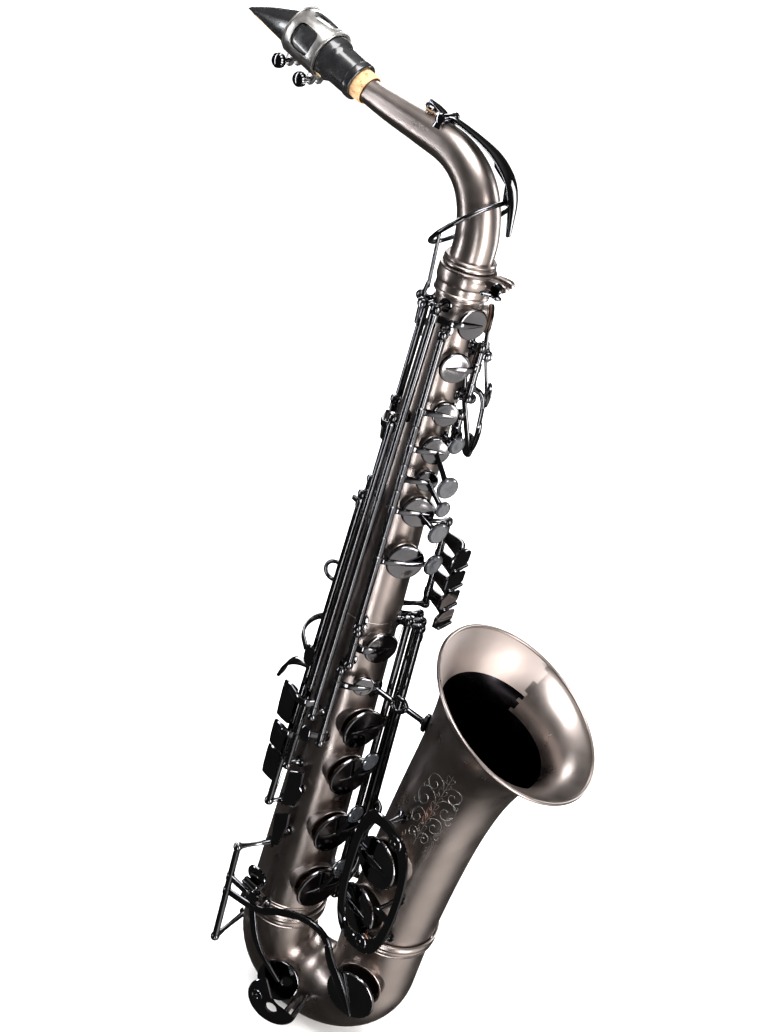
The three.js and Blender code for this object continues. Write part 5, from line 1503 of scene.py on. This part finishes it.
window(0, 14.2, 8, 5.5, 2)
for tilt in (-78, 78):
    window(tilt, 14.2, 7.4, 7.4, 4)
ribbon(tool, [along_mouth(0, -13), along_mouth(28, -13)], NECK_SIDE, 2.4, 5, 0, 0.1)
cut(ligature_piece, tool)
dress(ligature_piece, "mouthpiece", "pewter", ["ligature"])
shape = Shape()
LIGATURE_SCREWS = ((5, "ligature_screw_near"), (22.5, "ligature_screw_tip"))
for t, name in LIGATURE_SCREWS:
    for s in (-1, 1):
        ribbon(shape, [along_mouth(t, -12.4, s * 3.6), along_mouth(t, -16.4, s * 3.6),
            along_mouth(t, -18.6, s * 3.6)], neck_dir, [6.4, 5, 4], 3)
for t in (2.3, 26.2):
    row = ligature_ring(t, 1.75)
    wire(shape, [list(p) for p in row[58:] + row[:38]], 0.5, 8, 0, closed=False)
make("ligature_lugs", shape, "mouthpiece", "pewter")
for t, name in LIGATURE_SCREWS:
    shape = Shape()
    rod(shape, along_mouth(t, -16.2, -12), along_mouth(t, -16.2, 7.5), 1.15, 16)
    profile = [(1.6, 0), (2, 0.4), (2.1, 1.8), (3.6, 2.4), (4, 3), (4.05, 5.6), (3.6, 6.4), (2.4, 7),
        (0, 7.3)]
    turned(shape, along_mouth(t, -16.2, -9), -NECK_SIDE, profile, 48, knurl=0.035)
    make(name + "_knob", shape, name, "gloss", [name], 20)

# ---------- engraved scrolls on the bell ----------

scroll = Shape()


def scroll_line(points, radius):
    """A raised line on the bell; points are (t, angle)."""
    path = [list(bell_point(t, a, 0.03)) for t, a in points]
    wire(scroll, path, radius, 6, 1)


def spiral(t, angle, size, start, turns, flip=1):
    points = []
    for k in range(22):
        share = k / 21
        r = size * (1 - 0.86 * share)
        a = start + share * turns * math.tau * flip
        points.append((t + r * math.cos(a) / 170, angle + r * math.sin(a) / 0.62))
    return points


ENGRAVE_T = 0.62
ENGRAVE_A = -6
for side in (-1, 1):
    for step, (dt, size) in enumerate(((0.07, 7.5), (0.0, 9), (-0.075, 7), (-0.135, 4.5))):
        middle = ENGRAVE_A + side * (size * 1.5 + 1)
        scroll_line(spiral(ENGRAVE_T + dt, middle, size, math.pi * (0.5 if side < 0 else 1.5), 1.35, side),
            0.17)
        scroll_line(spiral(ENGRAVE_T + dt - 0.03, middle + side * 9, size * 0.45, 0, 0.9, -side), 0.13)
for k in range(9):
    t = ENGRAVE_T - 0.15 + k * 0.032
    for side in (-1, 1):
        scroll_line([(t, ENGRAVE_A), (t + 0.014, ENGRAVE_A + side * 4), (t + 0.034, ENGRAVE_A + side * 5),
                     (t + 0.03, ENGRAVE_A + side * 1)], 0.14)
scroll_line([(ENGRAVE_T - 0.17, ENGRAVE_A), (ENGRAVE_T, ENGRAVE_A + 1), (ENGRAVE_T + 0.15, ENGRAVE_A)], 0.2)
make("bell_scroll_engraving", scroll, "body", "pewter")

# ---------- floor, light ----------

low = CAD_BOX[0]
floor_mesh = bpy.data.meshes.new("floor")
FLOOR_REACH = 30
FLOOR_GAP = 0.0005
floor_z = low.z - FLOOR_GAP
corners = [(x * FLOOR_REACH, y * FLOOR_REACH, floor_z) for x, y in ((-1, -1), (1, -1), (1, 1), (-1, 1))]
floor_mesh.from_pydata(corners, [], [(0, 1, 2, 3)])
floor = bpy.data.objects.new("floor", floor_mesh)
bpy.context.scene.collection.objects.link(floor)
floor_finish = bpy.data.materials.new("floor")
floor_finish.use_nodes = True
floor_surface = floor_finish.node_tree.nodes["Principled BSDF"]
floor_surface.inputs["Base Color"].default_value = (0.93, 0.93, 0.93, 1)
floor_surface.inputs["Roughness"].default_value = 0.9
floor_mesh.materials.append(floor_finish)
floor.visible_glossy = False
floor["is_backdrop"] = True

CENTRE = Vector((0.06, 0, 0.0))


def softbox(name, towards, distance, size, power, colour):
    """A rectangular soft light at a direction from the instrument, facing it."""
    data = bpy.data.lights.new(name, "AREA")
    data.shape = "RECTANGLE"
    data.size = size[0]
    data.size_y = size[1]
    data.energy = power
    data.color = colour
    lamp = bpy.data.objects.new(name, data)
    direction = Vector(towards).normalized()
    lamp.location = CENTRE + direction * distance
    lamp.rotation_euler = direction.to_track_quat("Z", "Y").to_euler()
    bpy.context.scene.collection.objects.link(lamp)


# name, direction, distance, size, power, colour
SOFTBOXES = [
    ("overhead", (0.1, -0.2, 1), 2.2, (1.3, 1.3), 75, (1, 1, 1)),
    ("right_panel", (1, -0.5, 0.15), 1.6, (0.4, 1.6), 36, (1, 0.95, 0.91)),
    ("front_low", (0.35, -1, -0.35), 1.7, (0.12, 1.3), 12, (1, 1, 1)),
    ("left_strip", (-1, -0.55, 0.1), 1.6, (0.12, 1.8), 18, (0.95, 0.97, 1)),
    ("back_strip", (-0.6, 1, 0.4), 1.7, (0.5, 1.6), 22, (1, 1, 1)),
    ("back_right", (0.8, 1, 0.2), 1.7, (0.4, 1.4), 18, (1, 1, 1)),
]
for row in SOFTBOXES:
    softbox(*row)
FLOOR_LIGHT = 3.3
FLOOR_LIGHT_SPREAD = 60
sun_data = bpy.data.lights.new("floor_light", "SUN")
sun_data.energy = FLOOR_LIGHT
sun_data.angle = FLOOR_LIGHT_SPREAD * RAD
sun = bpy.data.objects.new("floor_light", sun_data)
sun.visible_glossy = False
bpy.context.scene.collection.objects.link(sun)

BASE_GLOW = 0.05
SIDE_GLOW = 1.6
TOP_GLOW = 0.5
world = bpy.data.worlds.new("studio")
bpy.context.scene.world = world
world.use_nodes = True
tree = world.node_tree
tree.nodes.clear()
out = tree.nodes.new("ShaderNodeOutputWorld")
blend = tree.nodes.new("ShaderNodeMixShader")
seen = node(tree, "ShaderNodeBackground", Color=(1, 1, 1, 1), Strength=1.0)
where = tree.nodes.new("ShaderNodeTexCoord")


def lobe(direction, start, end, strength):
    """Light from one side of the sky, growing from nothing at start to its full strength at end."""
    dot = node(tree, "ShaderNodeVectorMath")
    dot.operation = "DOT_PRODUCT"
    tree.links.new(where.outputs["Generated"], dot.inputs[0])
    dot.inputs[1].default_value = Vector(direction).normalized()
    curve = node(tree, "ShaderNodeMapRange")
    curve.interpolation_type = "SMOOTHSTEP"
    curve.inputs["From Min"].default_value = start
    curve.inputs["From Max"].default_value = end
    curve.inputs["To Max"].default_value = strength
    tree.links.new(dot.outputs["Value"], curve.inputs["Value"])
    return curve.outputs["Result"]


total = node(tree, "ShaderNodeMath")
total.operation = "ADD"
tree.links.new(lobe((0.85, -0.25, -0.45), 0.72, 0.95, SIDE_GLOW), total.inputs[0])
tree.links.new(lobe((0, 0, 1), 0.5, 1, TOP_GLOW), total.inputs[1])
level = node(tree, "ShaderNodeMath")
level.operation = "ADD"
level.inputs[1].default_value = BASE_GLOW
tree.links.new(total.outputs[0], level.inputs[0])
studio = node(tree, "ShaderNodeBackground", Color=(1, 0.96, 0.92, 1))
tree.links.new(level.outputs[0], studio.inputs["Strength"])
path = tree.nodes.new("ShaderNodeLightPath")
tree.links.new(path.outputs["Is Camera Ray"], blend.inputs["Fac"])
tree.links.new(studio.outputs["Background"], blend.inputs[1])
tree.links.new(seen.outputs["Background"], blend.inputs[2])
tree.links.new(blend.outputs["Shader"], out.inputs["Surface"])
bpy.context.scene.view_settings.view_transform = "Standard"

low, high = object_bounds()
